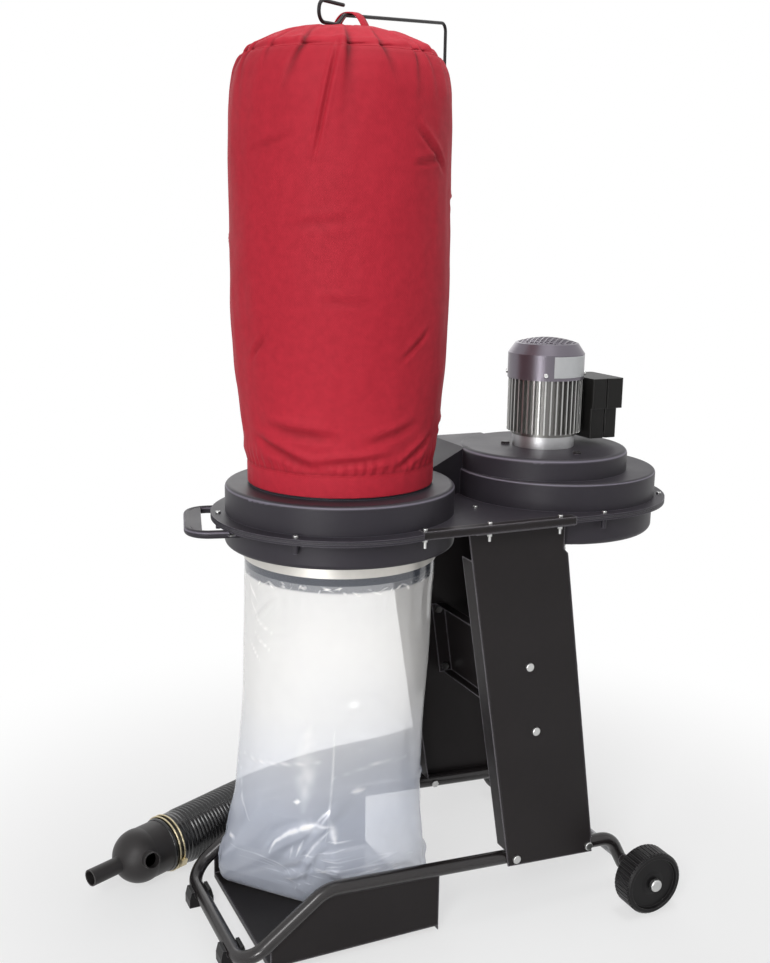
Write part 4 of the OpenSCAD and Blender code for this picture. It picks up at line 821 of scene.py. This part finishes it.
def make_hanging_strap():
    """Sewn cloth strap that rises from the bag's top, goes over the rod and comes down again."""
    from_tip, half_span, foot = 0.020, 0.031, HEM + 0.7360
    over = ROD_TIP - from_tip * ROD_DIR
    sideways = np.cross([0, 0, 1], ROD_DIR)
    sideways /= np.linalg.norm(sideways)
    steps, thick, half_wide = 40, 0.0022, 0.0118
    section = ((-1, 0.15), (-0.96, 1), (0, 1.12), (0.96, 1), (1, 0.15), (0.96, 0), (0, 0.0), (-0.96, 0))
    s = np.linspace(-1, 1, steps)
    spread = half_span * s
    top = over[2] + 0.0034
    rise = foot + (top - foot) * (1 - np.abs(s) ** 2.6)
    normal = np.stack([-np.gradient(rise, spread), np.ones(steps)], 1)
    normal /= np.linalg.norm(normal, axis=1)[:, None]
    rows = []
    for i in range(steps):
        centre = np.array([over[0], over[1], 0]) + sideways * spread[i] + np.array([0, 0, rise[i]])
        out = sideways * normal[i, 0] + np.array([0, 0, normal[i, 1]])
        ripple = 0.0012 * math.sin(3.1 * s[i] + 0.6)
        rows.append([centre + ROD_DIR * (half_wide * along + ripple) + out * thick * depth
                     for along, depth in section])
    points = np.array(rows).reshape(-1, 3)
    corners = len(section)
    last = (steps - 1) * corners
    faces = grid_faces(steps, corners, flip=True)
    faces += [tuple(range(corners)), tuple(range(last + corners - 1, last - 1, -1))]
    uv = np.stack([np.tile(np.linspace(0, 0.025, corners), steps),
                   np.repeat(np.linspace(0, 0.09, steps), corners)], 1)
    strap = piece("hanging_strap", points, faces, "filter_cloth", uv=uv)
    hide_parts("hanging_loop")


make_hanging_strap()

# Dust bag
FILM_R, FILM_GIRTH = 0.165, 1.036
FILM_TOP = 0.704
# Outline: height, middle, half length, half width and squareness
FILM_ROWS = [
    (FILM_TOP, 0.000, 0.1674, 0.1674, 2.0), (0.668, 0.000, 0.1674, 0.1674, 2.0),
    (0.630, -0.001, 0.1660, 0.1650, 2.0), (0.500, -0.006, 0.1640, 0.1600, 2.1),
    (0.360, -0.013, 0.1620, 0.1530, 2.3), (0.250, -0.020, 0.1620, 0.1460, 2.7),
    (0.150, -0.027, 0.1690, 0.1430, 3.8), (0.060, -0.032, 0.1690, 0.1420, 8.0),
    (0.022, -0.031, 0.1640, 0.1380, 10.0), (TRAY_TOP, -0.031, 0.1580, 0.1320, 10.0)]
# Front corner: height, and how far out it may reach
FILM_CORNER = [
    (FILM_TOP, 0.40), (0.630, 0.40), (0.440, 0.190), (0.250, 0.170), (0.150, 0.134), (0.060, 0.084),
    (0.022, 0.058), (TRAY_TOP, 0.052)]
CORNER_X, CORNER_Y = 0.761, 0.649
# Folds: distance to the right, height, lean, length, width and depth
FILM_CREASES = [
    (-0.060, 0.205, 0.50, 0.080, 0.014, 0.0060), (0.015, 0.235, 1.05, 0.050, 0.010, 0.0040),
    (-0.010, 0.160, 0.95, 0.060, 0.009, 0.0045), (-0.120, 0.170, 0.70, 0.060, 0.012, 0.0050),
    (0.090, 0.120, -0.35, 0.060, 0.010, 0.0045), (-0.080, 0.105, 0.25, 0.080, 0.010, 0.0045),
    (-0.135, 0.560, 0.30, 0.045, 0.006, 0.0018), (-0.140, 0.610, 0.75, 0.035, 0.006, 0.0020)]
# Bright creases, painted highlights where the folds catch the light on partly whitened film: width, strength
# and points
FILM_GLINT_STROKES = [
    (0.0046, 1.00, [(-0.141, 0.152), (-0.110, 0.187), (-0.065, 0.216), (-0.020, 0.238), (0.003, 0.245),
                    (0.036, 0.238)]),
    (0.0120, 0.28, [(-0.085, 0.205), (-0.020, 0.234), (0.020, 0.240)]),
    (0.0050, 0.85, [(0.028, 0.252), (0.046, 0.205)]),
    (0.0036, 0.60, [(-0.024, 0.161), (0.005, 0.200), (0.030, 0.230)]),
    (0.0032, 0.55, [(-0.055, 0.158), (-0.028, 0.205)]),
    (0.0034, 0.50, [(-0.080, 0.150), (-0.060, 0.185)]), (0.0042, 1.00, [(-0.053, 0.284), (-0.038, 0.286)]),
    (0.0042, 1.00, [(0.053, 0.299), (0.068, 0.301)]), (0.0042, 0.80, [(-0.214, 0.154), (-0.201, 0.163)]),
    (0.0180, 0.30, [(-0.036, 0.420), (-0.030, 0.270)]), (0.0018, 0.30, [(0.010, 0.420), (0.029, 0.200)]),
    (0.0028, 0.40, [(-0.205, 0.140), (-0.150, 0.128), (-0.095, 0.096)]),
    (0.0028, 0.35, [(-0.160, 0.082), (-0.080, 0.098), (-0.015, 0.130)]),
    (0.0022, 0.35, [(-0.212, 0.300), (-0.196, 0.240), (-0.178, 0.215)]),
    (0.0022, 0.35, [(-0.200, 0.330), (-0.110, 0.345), (0.000, 0.362)]),
    (0.0022, 0.25, [(0.020, 0.330), (0.080, 0.345), (0.150, 0.340)]),
    (0.0024, 0.35, [(-0.170, 0.566), (-0.125, 0.545)]),
    (0.0024, 0.30, [(-0.190, 0.620), (-0.150, 0.585), (-0.120, 0.575)]),
    (0.0024, 0.30, [(-0.200, 0.650), (-0.160, 0.620)]),
    (0.0020, 0.30, [(-0.185, 0.545), (-0.150, 0.520)])]


def stroke(across, height, width, points):
    """1 along a broken line on the opened-out bag, thinning to its ends and fading to 0 across it."""
    best = np.full(across.shape, 9.0)
    share = np.zeros(across.shape)
    spans = len(points) - 1
    for k in range(spans):
        (a, b), (c, d) = points[k], points[k + 1]
        run = (c - a) ** 2 + (d - b) ** 2
        t = np.clip(((across - a) * (c - a) + (height - b) * (d - b)) / run, 0, 1)
        far = np.hypot(across - a - t * (c - a), height - b - t * (d - b))
        share = np.where(far < best, (k + t) / spans, share)
        best = np.minimum(best, far)
    swell = np.sin(math.pi * share)
    return (0.35 + 0.65 * swell) * np.exp(-(best / (width * (0.35 + 0.65 * swell))) ** 2)


def fine_glint_strokes():
    """Fine creases of the film, drawn as painted glints: where it lies crumpled in front, and where its band
    gathers it.
    """
    pick = np.random.RandomState(31)
    lines = []
    for _ in range(26):
        u, v = pick.normal(0.040, 0.034), pick.normal(0.148, 0.026)
        run, rise = pick.uniform(0.020, 0.055), pick.uniform(-0.006, 0.014)
        lines.append((pick.uniform(0.0014, 0.0024), pick.uniform(0.25, 0.65),
                      [(u - run / 2, v - rise / 2), (u, v + pick.uniform(-0.003, 0.003)),
                       (u + run / 2, v + rise / 2)]))
    for _ in range(34):
        u, v = pick.uniform(-0.19, 0.19), pick.uniform(0.660, 0.670)
        run = pick.uniform(-0.024, 0.024)
        lines.append((pick.uniform(0.0012, 0.0020), pick.uniform(0.35, 0.80),
                      [(u, v), (u + run, v - pick.uniform(0.002, 0.010))]))
    for _ in range(16):
        u, v = pick.uniform(-0.20, -0.05), pick.uniform(0.05, 0.13)
        run = pick.uniform(0.020, 0.050)
        lines.append((pick.uniform(0.0014, 0.0024), pick.uniform(0.15, 0.40),
                      [(u, v), (u + run, v + pick.uniform(-0.012, 0.020))]))
    return lines


def film_outline(angles, z):
    """The bag's outline with its front corner pushed in, as x and y from the middle, and the middle's x."""
    stops = sorted(FILM_ROWS)
    shape = [smooth_line([(s[0], s[k]) for s in stops], z) for k in range(1, 5)]
    middle, half_x, half_y, square = (each_turn(a, angles.shape[1]) for a in shape)
    cos, sin = np.cos(angles), np.sin(angles)
    x = np.sign(cos) * np.abs(cos) ** (2 / square) * half_x
    y = np.sign(sin) * np.abs(sin) ** (2 / square) * half_y
    heights, limits = np.array(sorted(FILM_CORNER)).T
    limit = each_turn(np.interp(z, heights, limits), angles.shape[1])
    push = 0.006 * np.logaddexp(0, (-limit - (CORNER_X * (x + middle) + CORNER_Y * y)) / 0.006)
    return x + CORNER_X * push, y + CORNER_Y * push, middle


def film_folds(across, angles, heights):
    """How far the film stands off its plain outline, and how much painted glint and crease whitening each
    point gets.
    """
    cos, sin = np.cos(angles), np.sin(angles)
    free = np.clip((BAND_FOOT - heights) / 0.03, 0, 1)
    gather = np.sin(angles * 38 + 4.0 * wander(cos * 2.5, sin * 2.5, 0 * angles, 21))
    dent = 0.0007 * gather * np.exp(-((0.668 - heights) / 0.045) ** 2) * free
    dent += 0.0030 * wander(cos * 1.7, sin * 1.7, heights * 6.0, 22) * free
    crumpled = np.exp(-((across - 0.03) / 0.085) ** 2 - ((heights - 0.155) / 0.060) ** 2)
    low = np.clip((0.30 - heights) / 0.22, 0, 1) * (0.25 + 0.75 * np.clip(np.abs(across) / 0.1 - 1.6, 0, 1))
    low = np.clip(low + 0.7 * crumpled, 0, 1)
    ridged = 1 - 2 * np.abs(wander(cos * 2.4, sin * 2.4, heights * 13.0, 23))
    dent += 0.0032 * (ridged - 0.55) * low
    dent += 0.0026 * (1 - 2 * np.abs(wander(cos * 6.5, sin * 6.5, heights * 34.0, 24)) - 0.6) * low * low
    crease_and_glint = np.zeros_like(across)
    broken = 0.75 + 0.6 * wander(across * 60.0, heights * 60.0, 0 * across, 25)
    # Each stroke is a painted highlight on a crease, with a small real ridge in the film under it
    for width, strength, line in FILM_GLINT_STROKES + fine_glint_strokes():
        along = strength * stroke(across, heights, width, line)
        crease_and_glint += along * broken
        dent += min(0.0022, 0.7 * width) * along
    # The film lying on the tray is made whiter and more opaque too
    crease_and_glint += 0.45 * np.clip((0.024 - heights) / 0.006, 0, 1)
    for fold in FILM_CREASES:
        dent += crease(across, heights, *fold)
    unseen = np.random.RandomState(5)
    for _ in range(18):
        place = wrapped(unseen.uniform(0.24, 0.80), FILM_GIRTH)
        dent += crease(across, heights, place, unseen.uniform(0.08, 0.34), unseen.uniform(-1.2, 1.2),
                       unseen.uniform(0.04, 0.09), 0.009, unseen.uniform(0.002, 0.004))
    dent *= free
    dent = np.where(dent > 0, 0.005 * np.tanh(dent / 0.005), 0.012 * np.tanh(dent / 0.012))
    return dent, np.clip(crease_and_glint, 0, 1)


def make_dust_bag():
    """Thin film bag that hangs from its band, skews to one side and lies crumpled on the tray."""
    turns, side, floor = 316, 276, 26
    theta = angles_round(turns, 216, 1.2)
    z = np.concatenate([np.linspace(FILM_TOP, 0.60, 60, endpoint=False),
                        np.linspace(0.60, 0.30, 60, endpoint=False),
                        np.linspace(0.30, TRAY_TOP, side - 120)])
    angles, heights = each_row(theta, side), each_turn(z, turns)
    x, y, middle = film_outline(angles, z)
    dent, crease_and_glint = film_folds(each_row(distance_round(theta, FILM_R), side), angles, heights)
    scale = 1 + dent / np.maximum(np.hypot(x, y), 0.06)
    edge = np.stack([DRUM_X + middle + x * scale, y * scale, heights], 2)
    edge[-1, :, 2] = TRAY_TOP
    centre = np.array([edge[-1, :, 0].mean(), edge[-1, :, 1].mean(), TRAY_TOP])
    t = np.linspace(0, 1, floor + 1)[1:-1]
    under = edge[-1][None] * (1 - t)[:, None, None] + centre * t[:, None, None]
    points = np.concatenate([edge, under]).reshape(-1, 3)
    rows = side + len(t)
    faces = grid_faces(rows, turns, flip=True)
    faces.append(tuple((rows - 1) * turns + j for j in range(turns))[::-1])
    film = piece("film_dust_bag", points, faces, "bag_film")
    mark_points(film, "crease_and_glint", np.concatenate([crease_and_glint.ravel(), np.full(len(t) * turns, 0.3)]))
    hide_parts("dust_bag")


make_dust_bag()


# Repeated small pieces, placed by Geometry Nodes
def make_scatter_tree(name, build_shape, *sizes):
    """A tree that puts one small shape on every point of a mesh, turned by the point's own attribute."""
    tree = bpy.data.node_groups.new(name, "GeometryNodeTree")
    tree.interface.new_socket("Places", in_out="INPUT", socket_type="NodeSocketGeometry")
    for label in sizes:
        tree.interface.new_socket(label, in_out="INPUT", socket_type="NodeSocketFloat")
    tree.interface.new_socket("Finish", in_out="INPUT", socket_type="NodeSocketMaterial")
    tree.interface.new_socket("Pieces", in_out="OUTPUT", socket_type="NodeSocketGeometry")
    inp = tree.nodes.new("NodeGroupInput")
    out = tree.nodes.new("NodeGroupOutput")
    put = tree.nodes.new("GeometryNodeInstanceOnPoints")
    facing = tree.nodes.new("GeometryNodeInputNamedAttribute")
    facing.data_type = "FLOAT_VECTOR"
    facing.inputs["Name"].default_value = "facing"
    turn = tree.nodes.new("FunctionNodeEulerToRotation")
    real = tree.nodes.new("GeometryNodeRealizeInstances")
    paint = tree.nodes.new("GeometryNodeSetMaterial")
    link = tree.links.new
    link(inp.outputs["Places"], put.inputs["Points"])
    link(build_shape(tree, inp), put.inputs["Instance"])
    link(facing.outputs["Attribute"], turn.inputs[0])
    link(turn.outputs[0], put.inputs["Rotation"])
    link(put.outputs[0], real.inputs[0])
    link(real.outputs[0], paint.inputs["Geometry"])
    link(inp.outputs["Finish"], paint.inputs["Material"])
    link(paint.outputs[0], out.inputs["Pieces"])
    return tree


def scatter(name, tree, places, facings, slot, **sizes):
    """Runs a scatter tree on points and keeps the result as one plain mesh piece."""
    mesh = bpy.data.meshes.new(name + "_places")
    mesh.from_pydata([tuple(map(float, p)) for p in places], [], [])
    attribute = mesh.attributes.new("facing", "FLOAT_VECTOR", "POINT")
    attribute.data.foreach_set("vector", np.asarray(facings, np.float32).ravel())
    seed = bpy.data.objects.new(name + "_places", mesh)
    scene.collection.objects.link(seed)
    modifier = seed.modifiers.new("place", "NODES")
    modifier.node_group = tree
    for item in tree.interface.items_tree:
        if item.item_type == "SOCKET" and item.in_out == "INPUT":
            label = item.name.replace(" ", "_")
            if label in sizes:
                modifier[item.identifier] = sizes[label]
            elif item.name == "Finish":
                modifier[item.identifier] = FINISHES[slot]
    ready = seed.evaluated_get(bpy.context.evaluated_depsgraph_get())
    made = bpy.data.meshes.new_from_object(ready)
    bpy.data.objects.remove(seed)
    add_piece(name, made)


def stitch_shape(tree, inp):
    rod = tree.nodes.new("GeometryNodeMeshCylinder")
    rod.inputs["Vertices"].default_value = 6
    tree.links.new(inp.outputs["Thread Radius"], rod.inputs["Radius"])
    tree.links.new(inp.outputs["Stitch Length"], rod.inputs["Depth"])
    return rod.outputs["Mesh"]


def cross_shape(tree, inp):
    """Two flat bars that cross: painted shade standing for the shaded recess in a screw's head."""
    join = tree.nodes.new("GeometryNodeJoinGeometry")
    for first, second in (("Bar Length", "Bar Width"), ("Bar Width", "Bar Length")):
        size = tree.nodes.new("ShaderNodeCombineXYZ")
        tree.links.new(inp.outputs[first], size.inputs[0])
        tree.links.new(inp.outputs[second], size.inputs[1])
        size.inputs[2].default_value = 0.0003
        bar = tree.nodes.new("GeometryNodeMeshCube")
        tree.links.new(size.outputs[0], bar.inputs["Size"])
        tree.links.new(bar.outputs["Mesh"], join.inputs[0])
    return join.outputs[0]


STITCHES = make_scatter_tree("row_of_stitches", stitch_shape, "Stitch Length", "Thread Radius")
RECESS_SHADES = make_scatter_tree("screw_recesses", cross_shape, "Bar Length", "Bar Width")


def turn_to(axis):
    """Euler angles that turn +Z onto an axis."""
    return tuple(Vector(axis).to_track_quat("Z", "X").to_euler())


def make_stitches():
    """Lock stitches along the bag's hem and along the seam of its round top."""
    places, facings = [], []
    for row in (BAG_LOW + 26, BAG_LOW + 29, BAG_LOW + BAG_SIDE - 3):
        ring = BAG_GRID[row]
        for a, b in zip(ring, np.roll(ring, -1, axis=0)):
            outward = np.array([a[0] - DRUM_X, a[1], 0.0])
            outward /= np.linalg.norm(outward)
            places.append((a + b) / 2 + outward * 0.0002)
            facings.append(turn_to(b - a))
    scatter("bag_stitches", STITCHES, places, facings, "filter_cloth",
            Stitch_Length=0.0026, Thread_Radius=0.00035)


make_stitches()


def make_recess_shades():
    """Dark crosses of painted shade, standing for the recesses in the screws on the flange and the rails."""
    flange_top, rail_top = 0.7655, 0.7675
    places = []
    circles = ((DRUM_X, 0.2125, (84, 120, 168, 228)), (FAN_X + 0.028, 0.198, (-96, -32, 32, 96)))
    for middle, radius, angles in circles:
        for a in np.radians(angles):
            places.append((middle + radius * math.cos(a), radius * math.sin(a), flange_top))
    places.append((DRUM_X + 0.226, -0.080, flange_top))
    places += [(DRUM_X + x, y, rail_top) for x in (0.066, 0.187, 0.326) for y in (-0.2005, 0.2005)]
    facings = [(0, 0, 0.5 * i) for i in range(len(places))]
    # Black crosses laid on the screw heads as painted shade
    scatter("flange_screw_recesses", RECESS_SHADES, places, facings, "seal_foam",
            Bar_Length=0.0046, Bar_Width=0.0012)


make_recess_shades()


def make_blank_plate():
    """Thin plain plate, curved round the front of the motor's cowl."""
    columns, rows = 40, 4
    turns = np.radians(np.linspace(-110.0, -44.0, columns))
    inner, outer = 0.0706, 0.0711
    ring = []
    for radius, z in ((inner, 0.9835), (outer, 0.9840), (outer, 1.0212), (inner, 1.0217)):
        ring.append([(FAN_X + radius * math.cos(a), radius * math.sin(a), z) for a in turns])
    points = np.array(ring).transpose(1, 0, 2).reshape(-1, 3)
    faces = grid_faces(columns, rows)
    faces += [(3, 2, 1, 0), tuple((columns - 1) * rows + k for k in range(rows))]
    plate = piece("blank_plate", points, faces, "capacitor_can", smooth=False)
    plate.data.materials[0] = finish(
        "satin_plate", (0.55, 0.56, 0.57), (0.48, 0.49, 0.50), 0.30, 0.42, metal=0.2,
        tone=(30.0, 400.0), grain=(900.0, 200.0, 0.4), relief=(0.08, 0.0002))


make_blank_plate()


# Floor, backdrop and light
def seen_rays(tree):
    """1 for the rays that show the background: straight, mirrored or through glass."""
    path = tree.nodes.new("ShaderNodeLightPath")
    mirrored = math_node(tree, "MAXIMUM", path.outputs["Is Glossy Ray"], path.outputs["Is Transmission Ray"])
    return math_node(tree, "MAXIMUM", path.outputs["Is Camera Ray"], mirrored)


def make_stage():
    """A plain pale floor that keeps the shadow near the machine and is white further out."""
    material, tree, _ = new_material("pale_floor", Base_Color=rgb((0.88, 0.88, 0.88)), Roughness=0.8)
    glow = tree.nodes.new("ShaderNodeEmission")
    far = vector_node(tree, "LENGTH", object_place(tree))
    white = ramp_node(tree, far, 0.55, 1.4, start=0.62, smooth=True)
    mix = tree.nodes.new("ShaderNodeMixShader")
    tree.links.new(math_node(tree, "MULTIPLY", white, seen_rays(tree)), mix.inputs[0])
    tree.links.new(tree.nodes["Principled BSDF"].outputs[0], mix.inputs[1])
    tree.links.new(glow.outputs[0], mix.inputs[2])
    tree.links.new(mix.outputs[0], tree.nodes["Material Output"].inputs["Surface"])
    mesh = bpy.data.meshes.new("floor")
    half, down = 9, -0.001
    corners = [(x * half, y * half, down) for x, y in ((-1, -1), (1, -1), (1, 1), (-1, 1))]
    mesh.from_pydata(corners, [], [(0, 1, 2, 3)])
    floor = bpy.data.objects.new("floor", mesh)
    scene.collection.objects.link(floor)
    mesh.materials.append(material)

    world = bpy.data.worlds.new("studio")
    scene.world = world
    world.use_nodes = True
    tree = world.node_tree
    back = tree.nodes["Background"]
    back.inputs["Color"].default_value = (1, 1, 1, 1)
    tree.links.new(math_node(tree, "MULTIPLY_ADD", seen_rays(tree), 0.74, 0.26), back.inputs["Strength"])


make_stage()


def add_light(name, where, at, size, power, spread=180):
    """A soft box that stands somewhere and faces a point; spread narrows it, as a grid does."""
    data = bpy.data.lights.new(name, "AREA")
    data.shape = "RECTANGLE"
    data.size, data.size_y = size
    data.energy = power
    data.spread = math.radians(spread)
    light = bpy.data.objects.new(name, data)
    light.location = where
    light.rotation_euler = (Vector(at) - Vector(where)).to_track_quat("-Z", "Y").to_euler()
    scene.collection.objects.link(light)


add_light("left_softbox", (-2.3, -2.5, 2.8), (-0.1, 0, 1.45), (1.0, 1.8), 17, spread=80)
add_light("right_softbox", (2.8, -1.5, 1.8), (0.1, 0, 0.8), (1.0, 2.2), 2)
add_light("top_softbox", (0.3, -0.2, 3.4), (0, 0, 0.7), (1.0, 0.7), 24)
add_light("rear_softbox", (0.6, 2.8, 1.8), (0, 0, 0.8), (2.4, 1.6), 12)
add_light("low_fill", (-2.5, -2.2, 0.45), (-0.1, 0, 0.34), (0.9, 0.6), 1.6, spread=28)
